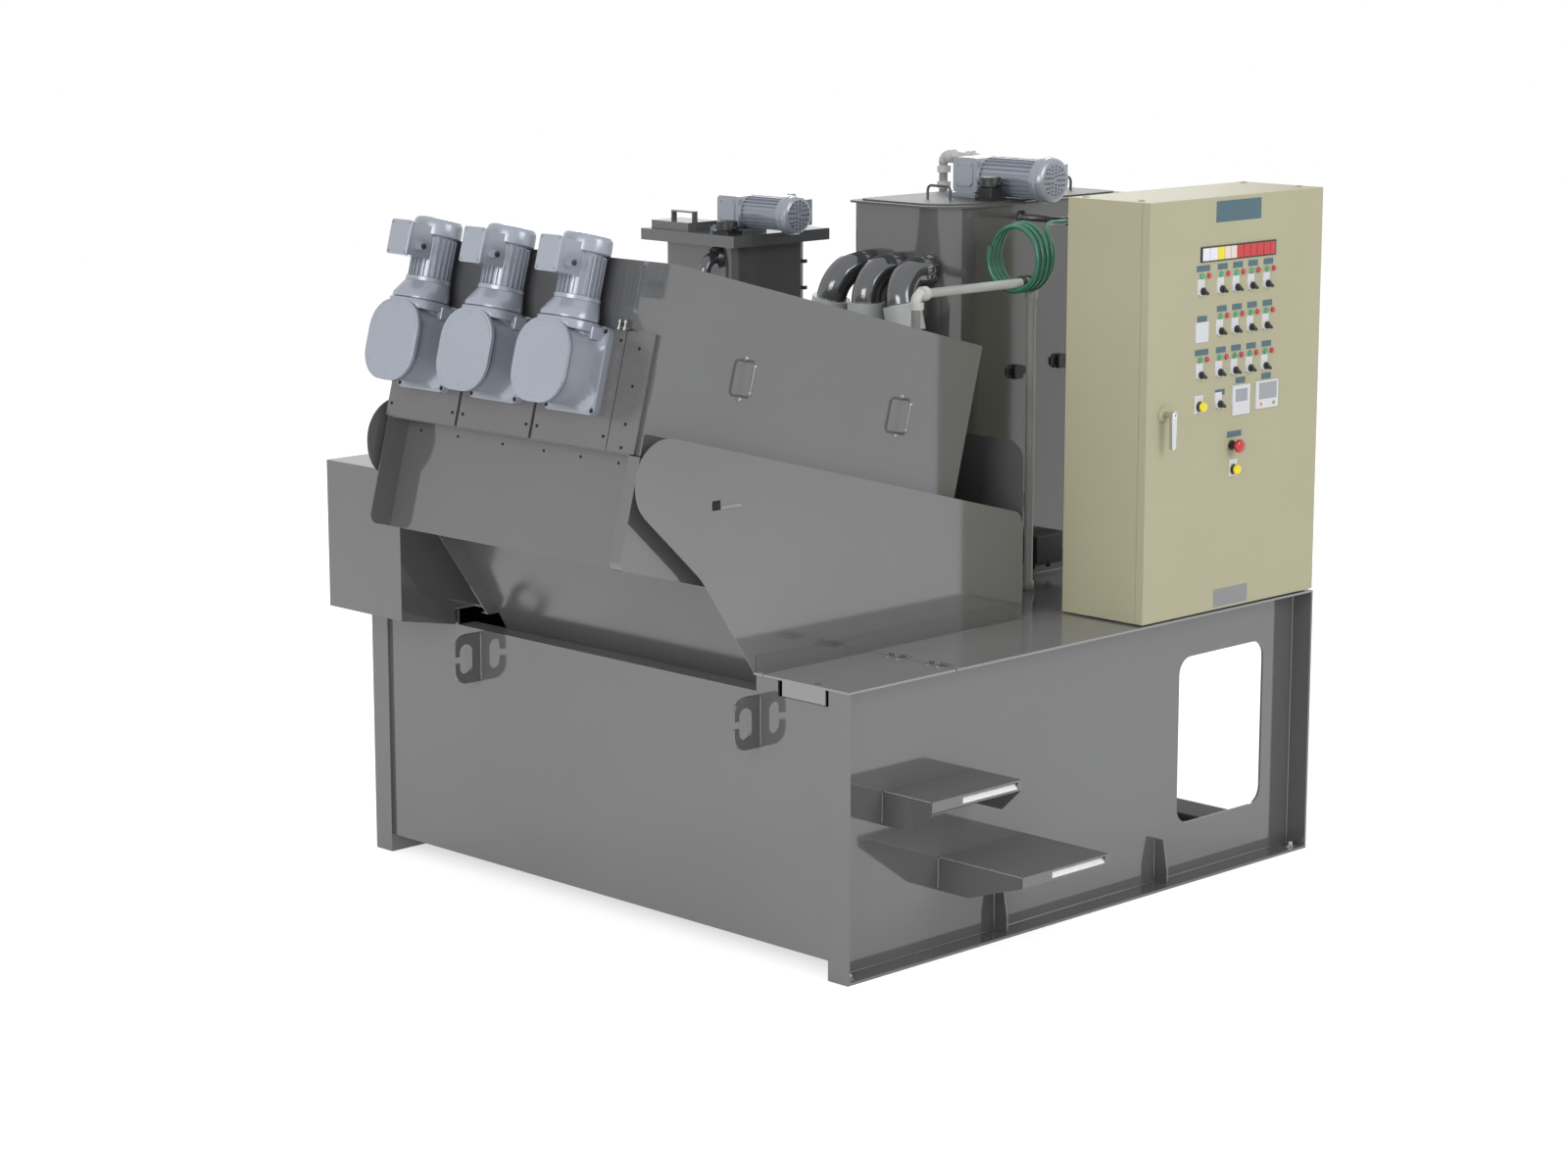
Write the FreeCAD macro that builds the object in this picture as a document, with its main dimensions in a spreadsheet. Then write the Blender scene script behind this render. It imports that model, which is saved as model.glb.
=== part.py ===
import FreeCAD, Part
import os
import re
import Sketcher
from FreeCAD import Placement, Rotation, Vector

# Multi-disc screw press on a skid base: millimetres, +Z up, origin on the floor
# under the middle of the base. +X is the side with the steps and the cabinet,
# -Y is the discharge end with the three gearmotors.

SIZES = (
    ("base_width", 2000, "base frame over its flanges, along X"),
    ("base_depth", 2000, "base frame, along Y"),
    ("base_height", 800, "floor to the top of the base"),
    ("flange_width", 68, "how far the side frame flanges stand out of the web"),
    ("flange_thick", 8, "flanges of the side frames"),
    ("web_thick", 6, "web plate of the side frames"),
    ("top_thick", 6, "top plate of the base"),
    ("window_front", 457, "front edge of the window in the web, from the middle"),
    ("window_length", 395, "window in the web along Y"),
    ("window_low", 160, "lower edge of the window above the floor"),
    ("window_high", 660, "upper edge of the window above the floor"),
    ("window_corner", 50, "corner radius of the window"),
    ("gusset_thick", 6, "gusset plates between web and bottom flange"),
    ("gusset_height", 130, "gusset along the web"),
    ("gusset_top", 32, "gusset width at its top"),
    ("gusset_knee", 50, "height at which the gusset reaches full width"),
    ("gusset_front", -344, "place of the front gusset along Y"),
    ("gusset_pitch", 701, "distance between the two gussets"),
    ("anchor_side", 34, "anchor hole centre from the base side"),
    ("anchor_end", 38, "anchor hole centre from the base end"),
    ("anchor_radius", 9, "anchor hole"),
    ("front_recess", 10, "front plate behind the front flanges"),
    ("front_thick", 6, "front plate"),
    ("tank_low", 52, "underside of the filtrate tank above the floor"),
    ("front_lip_drop", 52, "top edge of the front plate beside the trough, below the base top"),
    ("ledge_thick", 6, "ledge behind the top edge of the front plate"),
    ("ledge_depth", 59, "ledge along Y"),
    ("tank_back", 300, "front face of the tank back plate"),
    ("tank_thick", 6, "floor and back plate of the filtrate tank"),
    ("beam_height", 68, "rear cross member"),
    ("beam_depth", 60, "rear cross member along Y"),
    ("beam_thick", 6, "rear cross member sheet"),
    ("step_width", 357, "step along Y"),
    ("step_sheet", 4, "step sheet"),
    ("step_drop", 95, "step side along the web"),
    ("step_nose", 30, "front edge of the step"),
    ("step_flat", 115, "flat underside of the step next to the web"),
    ("upper_step_front", -800, "near end of the upper step along Y"),
    ("upper_step_top", 489, "tread of the upper step above the floor"),
    ("upper_step_reach", 183, "upper step out of the web"),
    ("lower_step_front", -576, "near end of the lower step along Y"),
    ("lower_step_top", 263, "tread of the lower step above the floor"),
    ("lower_step_reach", 308, "lower step out of the web"),
    ("slot_from_end", 14, "slot in the step nose from its far end"),
    ("slot_length", 222, "slot in the step nose"),
    ("slot_height", 20, "slot in the step nose"),
    ("guard_thick", 3, "side guard plates of the trough"),
    ("guard_right", 647, "outer face of the right guard"),
    ("guard_left", -462, "outer face of the left guard"),
    ("guard_rear", 80, "rear edge of the guards"),
    ("guard_bend_y", -190, "bend of the guard edge, from the base front"),
    ("guard_bend_rise", 275, "bend of the guard edge above the base"),
    ("guard_nose_y", -425, "nose of the guard, from the base front"),
    ("guard_nose_rise", 495, "lower corner of the guard nose above the base"),
    ("guard_top_rise", 701, "upper corner of the guard nose above the base"),
    ("guard_fall", 398, "fall of the guard's top edge to its rear end"),
    ("guard_round_bend", 150, "radius of the bend in the guard edge"),
    ("guard_round_low", 118, "lower radius of the guard nose"),
    ("guard_round_top", 112, "upper radius of the guard nose"),
    ("guard_round_rear", 45, "radius at the rear top corner"),
    ("rail_height", 45, "upright leg of the guard rails"),
    ("rail_width", 30, "flat leg of the guard rails"),
    ("rail_thick", 3, "guard rails"),
    ("rail_end", 55, "rear end of the guard rails"),
    ("splash_height", 511, "rear splash plate above the base"),
    ("splash_round", 60, "top corners of the rear splash plate"),
    ("wall_lean", 165, "how far the trough front wall leans forward"),
    ("wall_rise", 234, "top of the trough front wall above the base"),
    ("wall_thick", 3, "trough front wall"),
    ("lug_left", -514, "left hook lug, its left face"),
    ("lug_right", 651, "right hook lug, its left face"),
    ("lug_thick", 9, "hook lugs"),
    ("lug_reach", 96, "hook lugs out of the front plate"),
    ("lug_drop", 205, "lower edge of the hook lugs below the base top"),
    ("lug_height", 145, "hook lugs"),
    ("lug_round", 42, "corners of the hook lugs"),
    ("lug_hole_width", 46, "hole of the hook lugs"),
    ("lug_hole_height", 88, "hole of the hook lugs"),
    ("lug_gap", 20, "mouth of the hook lugs"),
    ("lug_rim", 17, "rim beside the hole of the hook lugs"),
    ("sidebox_inset", 58, "side box from the left side of the base"),
    ("sidebox_width", 336, "side box along X"),
    ("sidebox_front", 200, "side box in front of the base"),
    ("sidebox_drop", 13, "underside of the side box at its front, below the base top"),
    ("sidebox_rise", 420, "side box walls above the base"),
    ("sidebox_rear", -400, "rear face of the side box"),
    ("sidebox_sheet", 3, "side box sheet"),
    ("press_tilt", 15, "tilt of the press, front end high, degrees"),
    ("press_front", -1232, "front top edge of the press along Y"),
    ("press_rise", 1110, "front top edge of the press above the base"),
    ("press_left", -442, "outer face of the left casing wall"),
    ("press_right", 557, "outer face of the right casing wall"),
    ("press_length", 1229, "casing along its tilted axis"),
    ("press_depth", 808, "casing across its tilted axis"),
    ("casing_sheet", 3, "casing sheet"),
    ("casing_corner", 25, "rounded lower front corner of the casing walls"),
    ("frame_thick", 6, "front frame plate and bulkhead"),
    ("plates_top", 188, "top edge of the motor plates below the roof line"),
    ("plates_low", 505, "lower edge of the motor plates below the roof line"),
    ("plate_width", 297, "one motor plate"),
    ("plate_pitch", 308, "distance between the screws"),
    ("plate_thick", 10, "motor plates"),
    ("strip_gap", 3, "gap between the last motor plate and the strip"),
    ("strip_overlap", 24, "strip over the edge of the side cover"),
    ("hood_recess", 75, "hood panel behind the front of the motor plates"),
    ("bulkhead_at", 364, "discharge bulkhead from the front"),
    ("cover_deep", 40, "side cover tray out of the casing wall"),
    ("cover_gap", 3, "gap between side cover and lower side channel"),
    ("pull_reach", 43, "pull handles out of the side cover"),
    ("pull_span", 104, "pull handles between their feet"),
    ("pull_wire", 8, "pull handle wire diameter"),
    ("pull_round", 14, "bend of the pull handles"),
    ("pull_front", 314, "front pull handle from the front"),
    ("pull_rear", 937, "rear pull handle from the front"),
    ("pull_mid", 248, "middle of the pull handles below the roof line"),
    ("shaft_radius", 30, "screw shafts"),
    ("shaft_clear", 2, "screw shafts in the plates they pass"),
    ("disc_radius", 125, "back pressure discs"),
    ("disc_thick", 12, "back pressure discs"),
    ("disc_gap", 22, "back pressure disc from the bulkhead"),
    ("drive_axis", 304, "screw axis below the roof line"),
    ("flange_wide", 204, "gearbox flange"),
    ("flange_tall", 236, "gearbox flange"),
    ("flange_plate", 20, "gearbox flange thickness"),
    ("gear_wide", 194, "gearbox housing"),
    ("gear_tall", 210, "gearbox housing"),
    ("gear_deep", 118, "gearbox housing in front of its flange"),
    ("lid_wide", 209, "gearbox front cover"),
    ("lid_tall", 223, "gearbox front cover"),
    ("lid_deep", 12, "gearbox front cover"),
    ("motor_off", 70, "motor axis in front of the motor plates"),
    ("flange_corner", 22, "corners of the gearbox flange"),
    ("gear_corner", 78, "corners of the gearbox housing"),
    ("lid_corner", 84, "corners of the gearbox front cover"),
    ("bell_sink", 40, "bell housing inside the gearbox housing"),
    ("bell_wide", 150, "bell housing at the gearbox"),
    ("bell_deep", 134, "bell housing at the gearbox"),
    ("bell_top", 132, "top of the bell housing below the roof line"),
    ("motor_radius", 59, "drive motors over their fins"),
    ("fin_height", 7, "cooling fins"),
    ("fin_thick", 3, "cooling fins"),
    ("fin_count", 24, "cooling fins"),
    ("fin_root", 2, "cooling fins inside the housing wall"),
    ("motor_body", 130, "finned length of the drive motors"),
    ("fan_radius", 64, "fan covers of the drive motors"),
    ("fan_length", 46, "fan cover"),
    ("fan_round", 12, "rounded end of the fan cover"),
    ("term_wide", 80, "terminal box across"),
    ("term_deep", 62, "terminal box out of the motor"),
    ("term_tall", 90, "terminal box along the motor"),
    ("gland_radius", 13, "cable gland"),
    ("gland_length", 16, "cable gland"),
    ("small_tank_inset", 50, "mixing tank from the left side of the base"),
    ("small_tank_front", 160, "front face of the mixing tank"),
    ("small_tank_size", 322, "mixing tank, square in plan"),
    ("small_lid_rise", 1013, "top of the mixing tank lid above the base"),
    ("small_tank_round", 30, "corners of the mixing tank"),
    ("tank_sheet", 4, "tank sheet"),
    ("small_lid_over", 50, "mixing tank lid over its walls"),
    ("small_lid_tall", 36, "mixing tank lid"),
    ("hatch_width", 168, "hatch of the mixing tank along X"),
    ("hatch_depth", 126, "hatch of the mixing tank along Y"),
    ("hatch_height", 26, "hatch of the mixing tank"),
    ("hatch_inset", 24, "hatch from the lid edge"),
    ("hatch_handle_span", 100, "hatch handle"),
    ("hatch_handle_rise", 30, "hatch handle"),
    ("hatch_bar", 5, "flat bar of the hatch handle"),
    ("hatch_bar_wide", 20, "flat bar of the hatch handle"),
    ("small_gear_inset", 238, "mixer gearbox centre from the left face of its tank"),
    ("small_gear_y", 265, "mixer gearbox centre along Y"),
    ("small_gear_wide", 96, "mixer gearbox along X"),
    ("small_gear_deep", 100, "mixer gearbox along Y"),
    ("small_gear_tall", 112, "mixer gearbox"),
    ("small_motor_radius", 52, "mixer motor over its fins"),
    ("small_motor_body", 160, "finned length of the mixer motor"),
    ("small_fan_radius", 59, "mixer fan cover"),
    ("big_tank_left", -158, "left face of the flocculation tank"),
    ("big_tank_width", 398, "flocculation tank along X"),
    ("big_tank_front", 200, "front face of the flocculation tank"),
    ("big_tank_depth", 796, "flocculation tank along Y"),
    ("big_tank_rise", 1140, "flocculation tank walls above the base"),
    ("big_tank_round", 140, "rounded front corner of the flocculation tank"),
    ("roof_over", 12, "tank roof over the walls"),
    ("roof_thick", 6, "tank roof"),
    ("hatch_plate", 5, "raised plate on the tank roof"),
    ("hatch_plate_inset", 26, "raised plate from the roof edge"),
    ("big_gear_x", 41, "flocculator gearbox centre along X"),
    ("big_gear_y", 543, "flocculator gearbox centre along Y"),
    ("big_gear_wide", 98, "flocculator gearbox along X"),
    ("big_gear_deep", 114, "flocculator gearbox along Y"),
    ("big_gear_tall", 118, "flocculator gearbox"),
    ("big_motor_radius", 60, "flocculator motor over its fins"),
    ("big_motor_body", 205, "finned length of the flocculator motor"),
    ("big_fan_radius", 68, "flocculator fan cover"),
    ("seat_over", 16, "gearbox seat around the gearbox"),
    ("seat_thick", 12, "gearbox seat"),
    ("collar_length", 12, "collar between mixer gearbox and motor"),
    ("collar_sink", 2, "collar inside the mixer gearbox"),
    ("case_corner", 14, "corners of the mixer gearboxes"),
    ("axis_lift", 4, "mixer motors above the top of their gearbox"),
    ("bar_radius", 4, "round bar handles"),
    ("bar_span", 100, "round bar handles"),
    ("bar_rise", 45, "round bar handles"),
    ("bar_round", 15, "bend of the round bar handles"),
    ("bar_front", 350, "front bar handle along Y"),
    ("bar_rear", 900, "rear bar handle along Y"),
    ("bar_left", 10, "left foot of the bar handles"),
    ("sludge_radius", 44.5, "sludge pipes"),
    ("sludge_pitch", 122, "sludge pipes at the tank"),
    ("sludge_mid", 39, "middle sludge pipe along X"),
    ("sludge_rise", 958, "sludge pipes above the base"),
    ("sludge_bend", 90, "bend radius of the sludge pipes"),
    ("sludge_straight", 50, "straight start of the sludge pipes"),
    ("sludge_lean", 14, "outward lean of the outer sludge pipes, degrees"),
    ("sleeve_radius", 57, "coupling sleeves"),
    ("sleeve_length", 80, "coupling sleeves"),
    ("sleeve_start", 4, "coupling sleeves below the bend"),
    ("sludge_sink", 60, "sludge pipes cut off inside the feed box"),
    ("feed_width", 560, "feed box along X"),
    ("feed_rise", 730, "top of the feed box above the base"),
    ("feed_tall", 185, "feed box"),
    ("feed_margin", 58, "feed box behind the middle of the sludge pipes"),
    ("feed_bite", 155, "feed box ahead of the rear end of the press"),
    ("rinse_radius", 13.5, "rinse pipe"),
    ("rinse_socket", 18, "sockets of the rinse pipe"),
    ("rinse_x", 401, "rinse pipe along X"),
    ("rinse_foot_y", 387, "upright of the rinse pipe along Y"),
    ("rinse_rise", 928, "level run of the rinse pipe above the base"),
    ("rinse_ahead", 68, "pipe into the press roof, ahead of the rear end of the press"),
    ("rinse_bend", 24, "bend of the rinse pipe"),
    ("vent_gap", 32, "vent pipe beside the tank wall"),
    ("vent_y", 640, "vent pipe along Y"),
    ("vent_rise", 112, "vent pipe above the tank roof"),
    ("vent_run", 150, "level run of the vent pipe"),
    ("drain_radius", 20, "mixing tank outlet pipe"),
    ("drain_inset", 250, "mixing tank outlet from the left face of its tank"),
    ("drain_rise", 938, "mixing tank outlet above the base"),
    ("drain_bend", 48, "bend of the mixing tank outlet"),
    ("drain_flange", 34, "flange of the mixing tank outlet"),
    ("cab_depth", 272, "cabinet body along X"),
    ("cab_width", 796, "cabinet along Y"),
    ("cab_height", 1200, "cabinet"),
    ("cab_door", 28, "cabinet door"),
    ("cab_inset", 4, "door face behind the base side"),
    ("cab_end", 1, "cabinet rear face from the base end"),
    ("cab_feet", 5, "cabinet pads"),
    ("cab_sheet", 3, "cabinet sheet"),
    ("cab_gap", 1, "gap between door and body"),
    ("hinge_radius", 5.5, "cabinet hinge knuckles"),
    ("hinge_pin", 3, "hinge pins"),
    ("hinge_play", 0.05, "radial play of the hinge pins"),
    ("hinge_knuckle", 30, "length of one hinge knuckle"),
    ("hinge_from_end", 150, "cabinet hinges from top and bottom"),
    ("lock_rise", 605, "door handle spindle above the base"),
    ("lock_from_edge", 74, "door handle from the free edge of the door"),
    ("rose_radius", 23, "round plate under the door handle"),
    ("rose_thick", 8, "round plate under the door handle"),
    ("neck_radius", 9, "neck of the door handle"),
    ("neck_length", 24, "neck of the door handle"),
    ("lever_head", 12, "lever of the door handle, half its width at the neck"),
    ("lever_tip", 8, "lever of the door handle, half its width at the tip"),
    ("lever_length", 98, "lever of the door handle below its neck"),
    ("lever_thick", 11, "lever of the door handle"),
    ("lid_back", -583, "hinge line of the inspection lid along Y"),
    ("lid_clear", 3, "clearance round the inspection lid"),
    ("lip_inset", 26, "front lip of the lid from the left end of its opening"),
    ("lip_margin", 7, "front lip of the lid from the right end of its opening"),
    ("lip_drop", 42, "front lip of the inspection lid"),
    ("mouth_inset", 47, "opening in the front plate for the lip, from the left edge of the lid"),
    ("mouth_margin", 5, "that opening from the web"),
    ("mouth_drop", 53, "lower edge of that opening below the base top"),
    ("butt_radius", 4.5, "knuckles of the lid hinges"),
    ("butt_pin", 2, "pins of the lid hinges"),
    ("butt_leaf", 26, "leaves of the lid hinges"),
    ("butt_sheet", 2, "leaves of the lid hinges"),
    ("butt_width", 60, "lid hinges along X"),
    ("butt_start", 0.225, "first lid hinge, as a share of the width of the lid"),
    ("butt_spread", 0.46875, "distance between the lid hinges, as a share of that width"),
    ("hose_radius", 7.5, "hose"),
    ("coil_radius", 100, "hose coil, middle of the turns"),
    ("coil_length", 64, "hose coil along the pipe it hangs on"),
    ("coil_y", 330, "middle of the hose coil along Y"),
    ("coil_play", 0.4, "gap between the hose coil and the pipe it hangs on"),
    ("lead_over", 36, "hose lead from the rinse pipe along X"),
    ("lead_up", 93, "hose lead above the middle of the coil"),
    ("tap_y", 520, "tap of the hose along Y"),
    ("tap_radius", 10, "tap pipe"),
    ("sensor_wide", 70, "level sensor bracket"),
    ("sensor_head", 22, "level sensor head radius"),
    ("sensor_tall", 30, "level sensor head"),
    ("sensor_deep", 60, "level sensor bracket along the gearbox"),
    ("sensor_plate", 10, "level sensor bracket"),
    ("sensor_gap", 2, "level sensor bracket from the gearbox seat"),
    ("big_sensor_x", 160, "level sensor of the flocculation tank along X"),
    ("big_sensor_y", 400, "level sensor of the flocculation tank along Y"),
    ("junction_y", 530, "junction box along Y"),
    ("junction_rise", 40, "junction box above the base"),
    ("junction_deep", 60, "junction box out of the tank wall"),
    ("junction_wide", 130, "junction box along Y"),
    ("junction_tall", 95, "junction box"),
)

doc = FreeCAD.newDocument("screw_press")
sheet = doc.addObject("Spreadsheet::Sheet", "Sizes")
for row, (alias, value, note) in enumerate(SIZES, 1):
    sheet.set("A%d" % row, str(value))
    sheet.set("B%d" % row, note)
    sheet.setAlias("A%d" % row, alias)
doc.recompute()

# Places that follow from the sizes, written once and used by many pieces.
PLACES = {
    "half_width": "base_width / 2",
    "half_depth": "base_depth / 2",
    "web_out": "half_width - flange_width",
    "web_in": "web_out - web_thick",
    "top_low": "base_height - top_thick",
    "plate_front": "-half_depth + front_recess",
    "plate_back": "plate_front + front_thick",
    "ledge_back": "plate_back + ledge_depth",
    "front_lip": "base_height - front_lip_drop",
    "ledge_low": "front_lip - ledge_thick",
    "trough_left": "guard_left + guard_thick",
    "trough_right": "guard_right - guard_thick",
    "rail_edge": "guard_right + rail_width",
    "guard_bend_z": "base_height + guard_bend_rise",
    "guard_nose_z": "base_height + guard_nose_rise",
    "guard_top_z": "base_height + guard_top_rise",
    "wall_top": "base_height + wall_rise",
    "lug_low": "base_height - lug_drop",
    "sidebox_left": "-half_width + sidebox_inset",
    "sidebox_right": "sidebox_left + sidebox_width",
    "sidebox_low": "base_height - sidebox_drop",
    "sidebox_top": "base_height + sidebox_rise",
    "press_high": "base_height + press_rise",
    "press_end": "press_front + press_length * cos(press_tilt * 1 deg)",
    "cover_out": "press_right + cover_deep",
    "wall_left": "press_left + casing_sheet",
    "wall_right": "press_right - casing_sheet",
    "screw_x": "press_left + plate_width / 2",
    "small_tank_left": "-half_width + small_tank_inset",
    "small_gear_x": "small_tank_left + small_gear_inset",
    "small_lid_top": "base_height + small_lid_rise",
    "small_lid_low": "small_lid_top - tank_sheet",
    "big_tank_right": "big_tank_left + big_tank_width",
    "big_tank_top": "base_height + big_tank_rise",
    "roof_top": "big_tank_top + roof_thick",
    "roof_deck": "roof_top + hatch_plate",
    "sludge_high": "base_height + sludge_rise",
    "sludge_y": "big_tank_front - sludge_straight - sludge_bend",
    "feed_top": "base_height + feed_rise",
    "feed_low": "feed_top - feed_tall",
    "feed_rear": "sludge_y + feed_margin",
    "feed_front": "press_end - feed_bite",
    "rinse_high": "base_height + rinse_rise",
    "rinse_end_y": "press_end - rinse_ahead",
    "drain_x": "small_tank_left + drain_inset",
    "drain_high": "base_height + drain_rise",
    "cab_front": "half_width - cab_inset - cab_door",
    "cab_back": "cab_front - cab_depth",
    "cab_rear": "half_depth - cab_end",
    "cab_near": "cab_rear - cab_width",
    "cab_low": "base_height + cab_feet",
    "cab_top": "cab_low + cab_height",
    "hinge_y": "cab_rear + hinge_radius",
    "lock_z": "base_height + lock_rise",
    "lid_left": "rail_edge + lid_clear",
    "lid_width": "half_width - lid_left",
    "mouth_left": "lid_left + mouth_inset",
    "mouth_width": "web_in - mouth_margin - mouth_left",
    "mouth_low": "base_height - mouth_drop",
    "lip_left": "mouth_left + lip_inset",
    "lip_width": "mouth_width - lip_inset - lip_margin",
    "butt_first": "lid_left + lid_width * butt_start",
    "butt_pitch": "lid_width * butt_spread",
    "butt_high": "base_height + butt_radius",
    "coil_high": "rinse_high - rinse_radius - coil_play + coil_radius - hose_radius",
    "lead_x": "rinse_x + lead_over",
    "lead_z": "coil_high + lead_up",
}
NAMES = {alias for alias, value, note in SIZES}
WORD = re.compile(r"[A-Za-z_]+")


def formula(text):
    """A sizes expression with every name made a cell of the sheet."""
    def swap(match):
        word = match.group(0)
        if word in PLACES:
            return "(" + formula(PLACES[word]) + ")"
        return "Sizes." + word if word in NAMES else word
    return WORD.sub(swap, str(text))


def bind(thing, prop, text):
    thing.setExpression(prop, formula(text))


def place(thing, x=0, y=0, z=0, axis=None, angle=0):
    """Puts a piece at bound coordinates, turned about an axis."""
    turn = Rotation(axis, angle) if axis else Rotation()
    thing.Placement = Placement(Vector(), turn)
    bind(thing, "Placement.Base.x", x)
    bind(thing, "Placement.Base.y", y)
    bind(thing, "Placement.Base.z", z)
    return thing


def in_press(thing):
    """Moves a piece modelled in the press's own frame to the tilted press.

    There X is across, Y runs down the axis from the motor end and Z is up
    from the roof line, which passes through the front top edge."""
    thing.Placement = Placement(Vector(), Rotation(Vector(-1, 0, 0), 1))
    bind(thing, "Placement.Base.y", "press_front")
    bind(thing, "Placement.Base.z", "press_high")
    bind(thing, "Placement.Rotation.Angle", "press_tilt * 1 deg")
    return thing


def box(name, x, y, z, dx, dy, dz):
    solid = doc.addObject("Part::Box", name)
    bind(solid, "Length", dx)
    bind(solid, "Width", dy)
    bind(solid, "Height", dz)
    return place(solid, x, y, z)


TURNS = {"x": (Vector(0, 1, 0), 90), "y": (Vector(1, 0, 0), -90), "z": (None, 0)}


def rod(name, along, x, y, z, radius, length):
    """A cylinder from a point along +X, +Y or +Z."""
    solid = doc.addObject("Part::Cylinder", name)
    bind(solid, "Radius", radius)
    bind(solid, "Height", length)
    return place(solid, x, y, z, *TURNS[along])


def fuse(name, pieces):
    solid = doc.addObject("Part::MultiFuse", name)
    solid.Shapes = pieces
    solid.Refine = True
    return solid


def cut(name, base, tool):
    solid = doc.addObject("Part::Cut", name)
    solid.Base = base
    solid.Tool = tool
    return solid


def group(name, pieces):
    solid = doc.addObject("Part::Compound", name)
    solid.Links = pieces
    return solid


def mirror(name, source):
    solid = doc.addObject("Part::Mirroring", name)
    solid.Source = source
    solid.Normal = Vector(1, 0, 0)
    return solid


PLANES = {"XY": ("XY_Plane", False), "YZ": ("YZ_Plane", False), "XZ": ("XZ_Plane", True)}


def flat(plane, point):
    """The two coordinates of a point in a body's sketch plane."""
    return {"XY": (point.x, point.y), "YZ": (point.y, point.z), "XZ": (point.x, point.z)}[plane]


def add_loop(sketch, corners):
    """A closed loop of straight edges with every corner bound to the sizes."""
    first = sketch.GeometryCount
    count = len(corners)
    for index in range(count):
        start = Vector(index + first, index % 3 + first, 0)
        end = Vector((index + 1) % count + first, (index + 1) % count % 3 + first, 0)
        sketch.addGeometry(Part.LineSegment(start, end), False)
    for index in range(count):
        after = first + (index + 1) % count
        sketch.addConstraint(Sketcher.Constraint("Coincident", first + index, 2, after, 1))
    for index, corner in enumerate(corners):
        for kind, text in (("DistanceX", corner[0]), ("DistanceY", corner[1])):
            number = sketch.addConstraint(Sketcher.Constraint(kind, -1, 1, first + index, 1, 1.0))
            bind(sketch, "Constraints[%d]" % number, text)


def add_circle(sketch, x, y, radius):
    ring = sketch.addGeometry(Part.Circle(Vector(1, 1, 0), Vector(0, 0, 1), 1), False)
    for kind, text in (("DistanceX", x), ("DistanceY", y)):
        number = sketch.addConstraint(Sketcher.Constraint(kind, -1, 1, ring, 3, 1.0))
        bind(sketch, "Constraints[%d]" % number, text)
    number = sketch.addConstraint(Sketcher.Constraint("Radius", ring, 1.0))
    bind(sketch, "Constraints[%d]" % number, radius)


def new_sketch(body, name, plane, start):
    sketch = body.newObject("Sketcher::SketchObject", name)
    role, turned = PLANES[plane]
    origin = [part for part in body.Origin.OriginFeatures if part.Role == role][0]
    sketch.AttachmentSupport = [(origin, "")]
    sketch.MapMode = "FlatFace"
    bind(sketch, "AttachmentOffset.Base.z", "-(" + str(start) + ")" if turned else start)
    return sketch


def profile(name, plane, corners, start, length, holes=()):
    """A body padded from an outline. A corner is (x, y) or (x, y, radius), and
    a hole is a list of corners or a tuple ("circle", x, y, radius)."""
    body = doc.addObject("PartDesign::Body", name)
    sketch = new_sketch(body, name + "_outline", plane, start)
    add_loop(sketch, corners)
    rounds = [(0, corners)]
    for hole in holes:
        if hole[0] == "circle":
            add_circle(sketch, *hole[1:])
        else:
            rounds.append((sketch.GeometryCount, hole))
            add_loop(sketch, hole)
    pad = body.newObject("PartDesign::Pad", name + "_pad")
    pad.Profile = sketch
    bind(pad, "Length", length)
    pad.Reversed = PLANES[plane][1]
    doc.recompute()
    wanted = {}
    for first, loop in rounds:
        for index, corner in enumerate(loop):
            if len(corner) > 2:
                wanted.setdefault(corner[2], []).append(sketch.getPoint(first + index, 1))
    for number, (radius, points) in enumerate(sorted(wanted.items())):
        last = body.Tip
        edges = []
        for count, edge in enumerate(last.Shape.Edges, 1):
            if len(edge.Vertexes) == 2:
                ends = [flat(plane, vertex.Point) for vertex in edge.Vertexes]
                if any(all(abs(end[0] - p.x) + abs(end[1] - p.y) < 1e-4 for end in ends)
                       for p in points):
                    edges.append("Edge%d" % count)
        rounding = body.newObject("PartDesign::Fillet", "%s_round_%d" % (name, number))
        rounding.Base = (last, edges)
        bind(rounding, "Radius", radius)
        doc.recompute()
    return body


NODES = []
PIPE_SIDES = 16
WIRE_SIDES = 8


def node(name, solid):
    """Names a finished sub-part and puts it on the list to be written."""
    solid.Label = name
    NODES.append(solid)
    return solid


def rectangle(x, y, dx, dy, radius=None):
    """Corners of an upright rectangle from its lower left corner."""
    right = "%s + %s" % (x, dx)
    top = "%s + %s" % (y, dy)
    corners = [(x, y), (right, y), (right, top), (x, top)]
    return [corner + (radius,) for corner in corners] if radius else corners


def elbow(name, radius, bend, x, y, z, start, end, sides=PIPE_SIDES):
    """A quarter bend about (x, y, z), from the side start to the side end.
    Its section is a polygon, so that it stays light."""
    section = doc.addObject("Part::RegularPolygon", name + "_section")
    section.Polygon = sides
    bind(section, "Circumradius", radius)
    place(section, bend, 0, 0, Vector(1, 0, 0), 90)
    solid = doc.addObject("Part::Revolution", name)
    solid.Source = section
    solid.Axis = Vector(0, 0, 1)
    solid.Angle = 90
    solid.Solid = True
    place(solid, x, y, z)
    solid.Placement.Rotation = Rotation(start, end, start.cross(end), "XYZ")
    return solid


RIGHT = Vector(1, 0, 0)
REAR = Vector(0, 1, 0)
UP = Vector(0, 0, 1)
BELL_SIDES = 16


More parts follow.
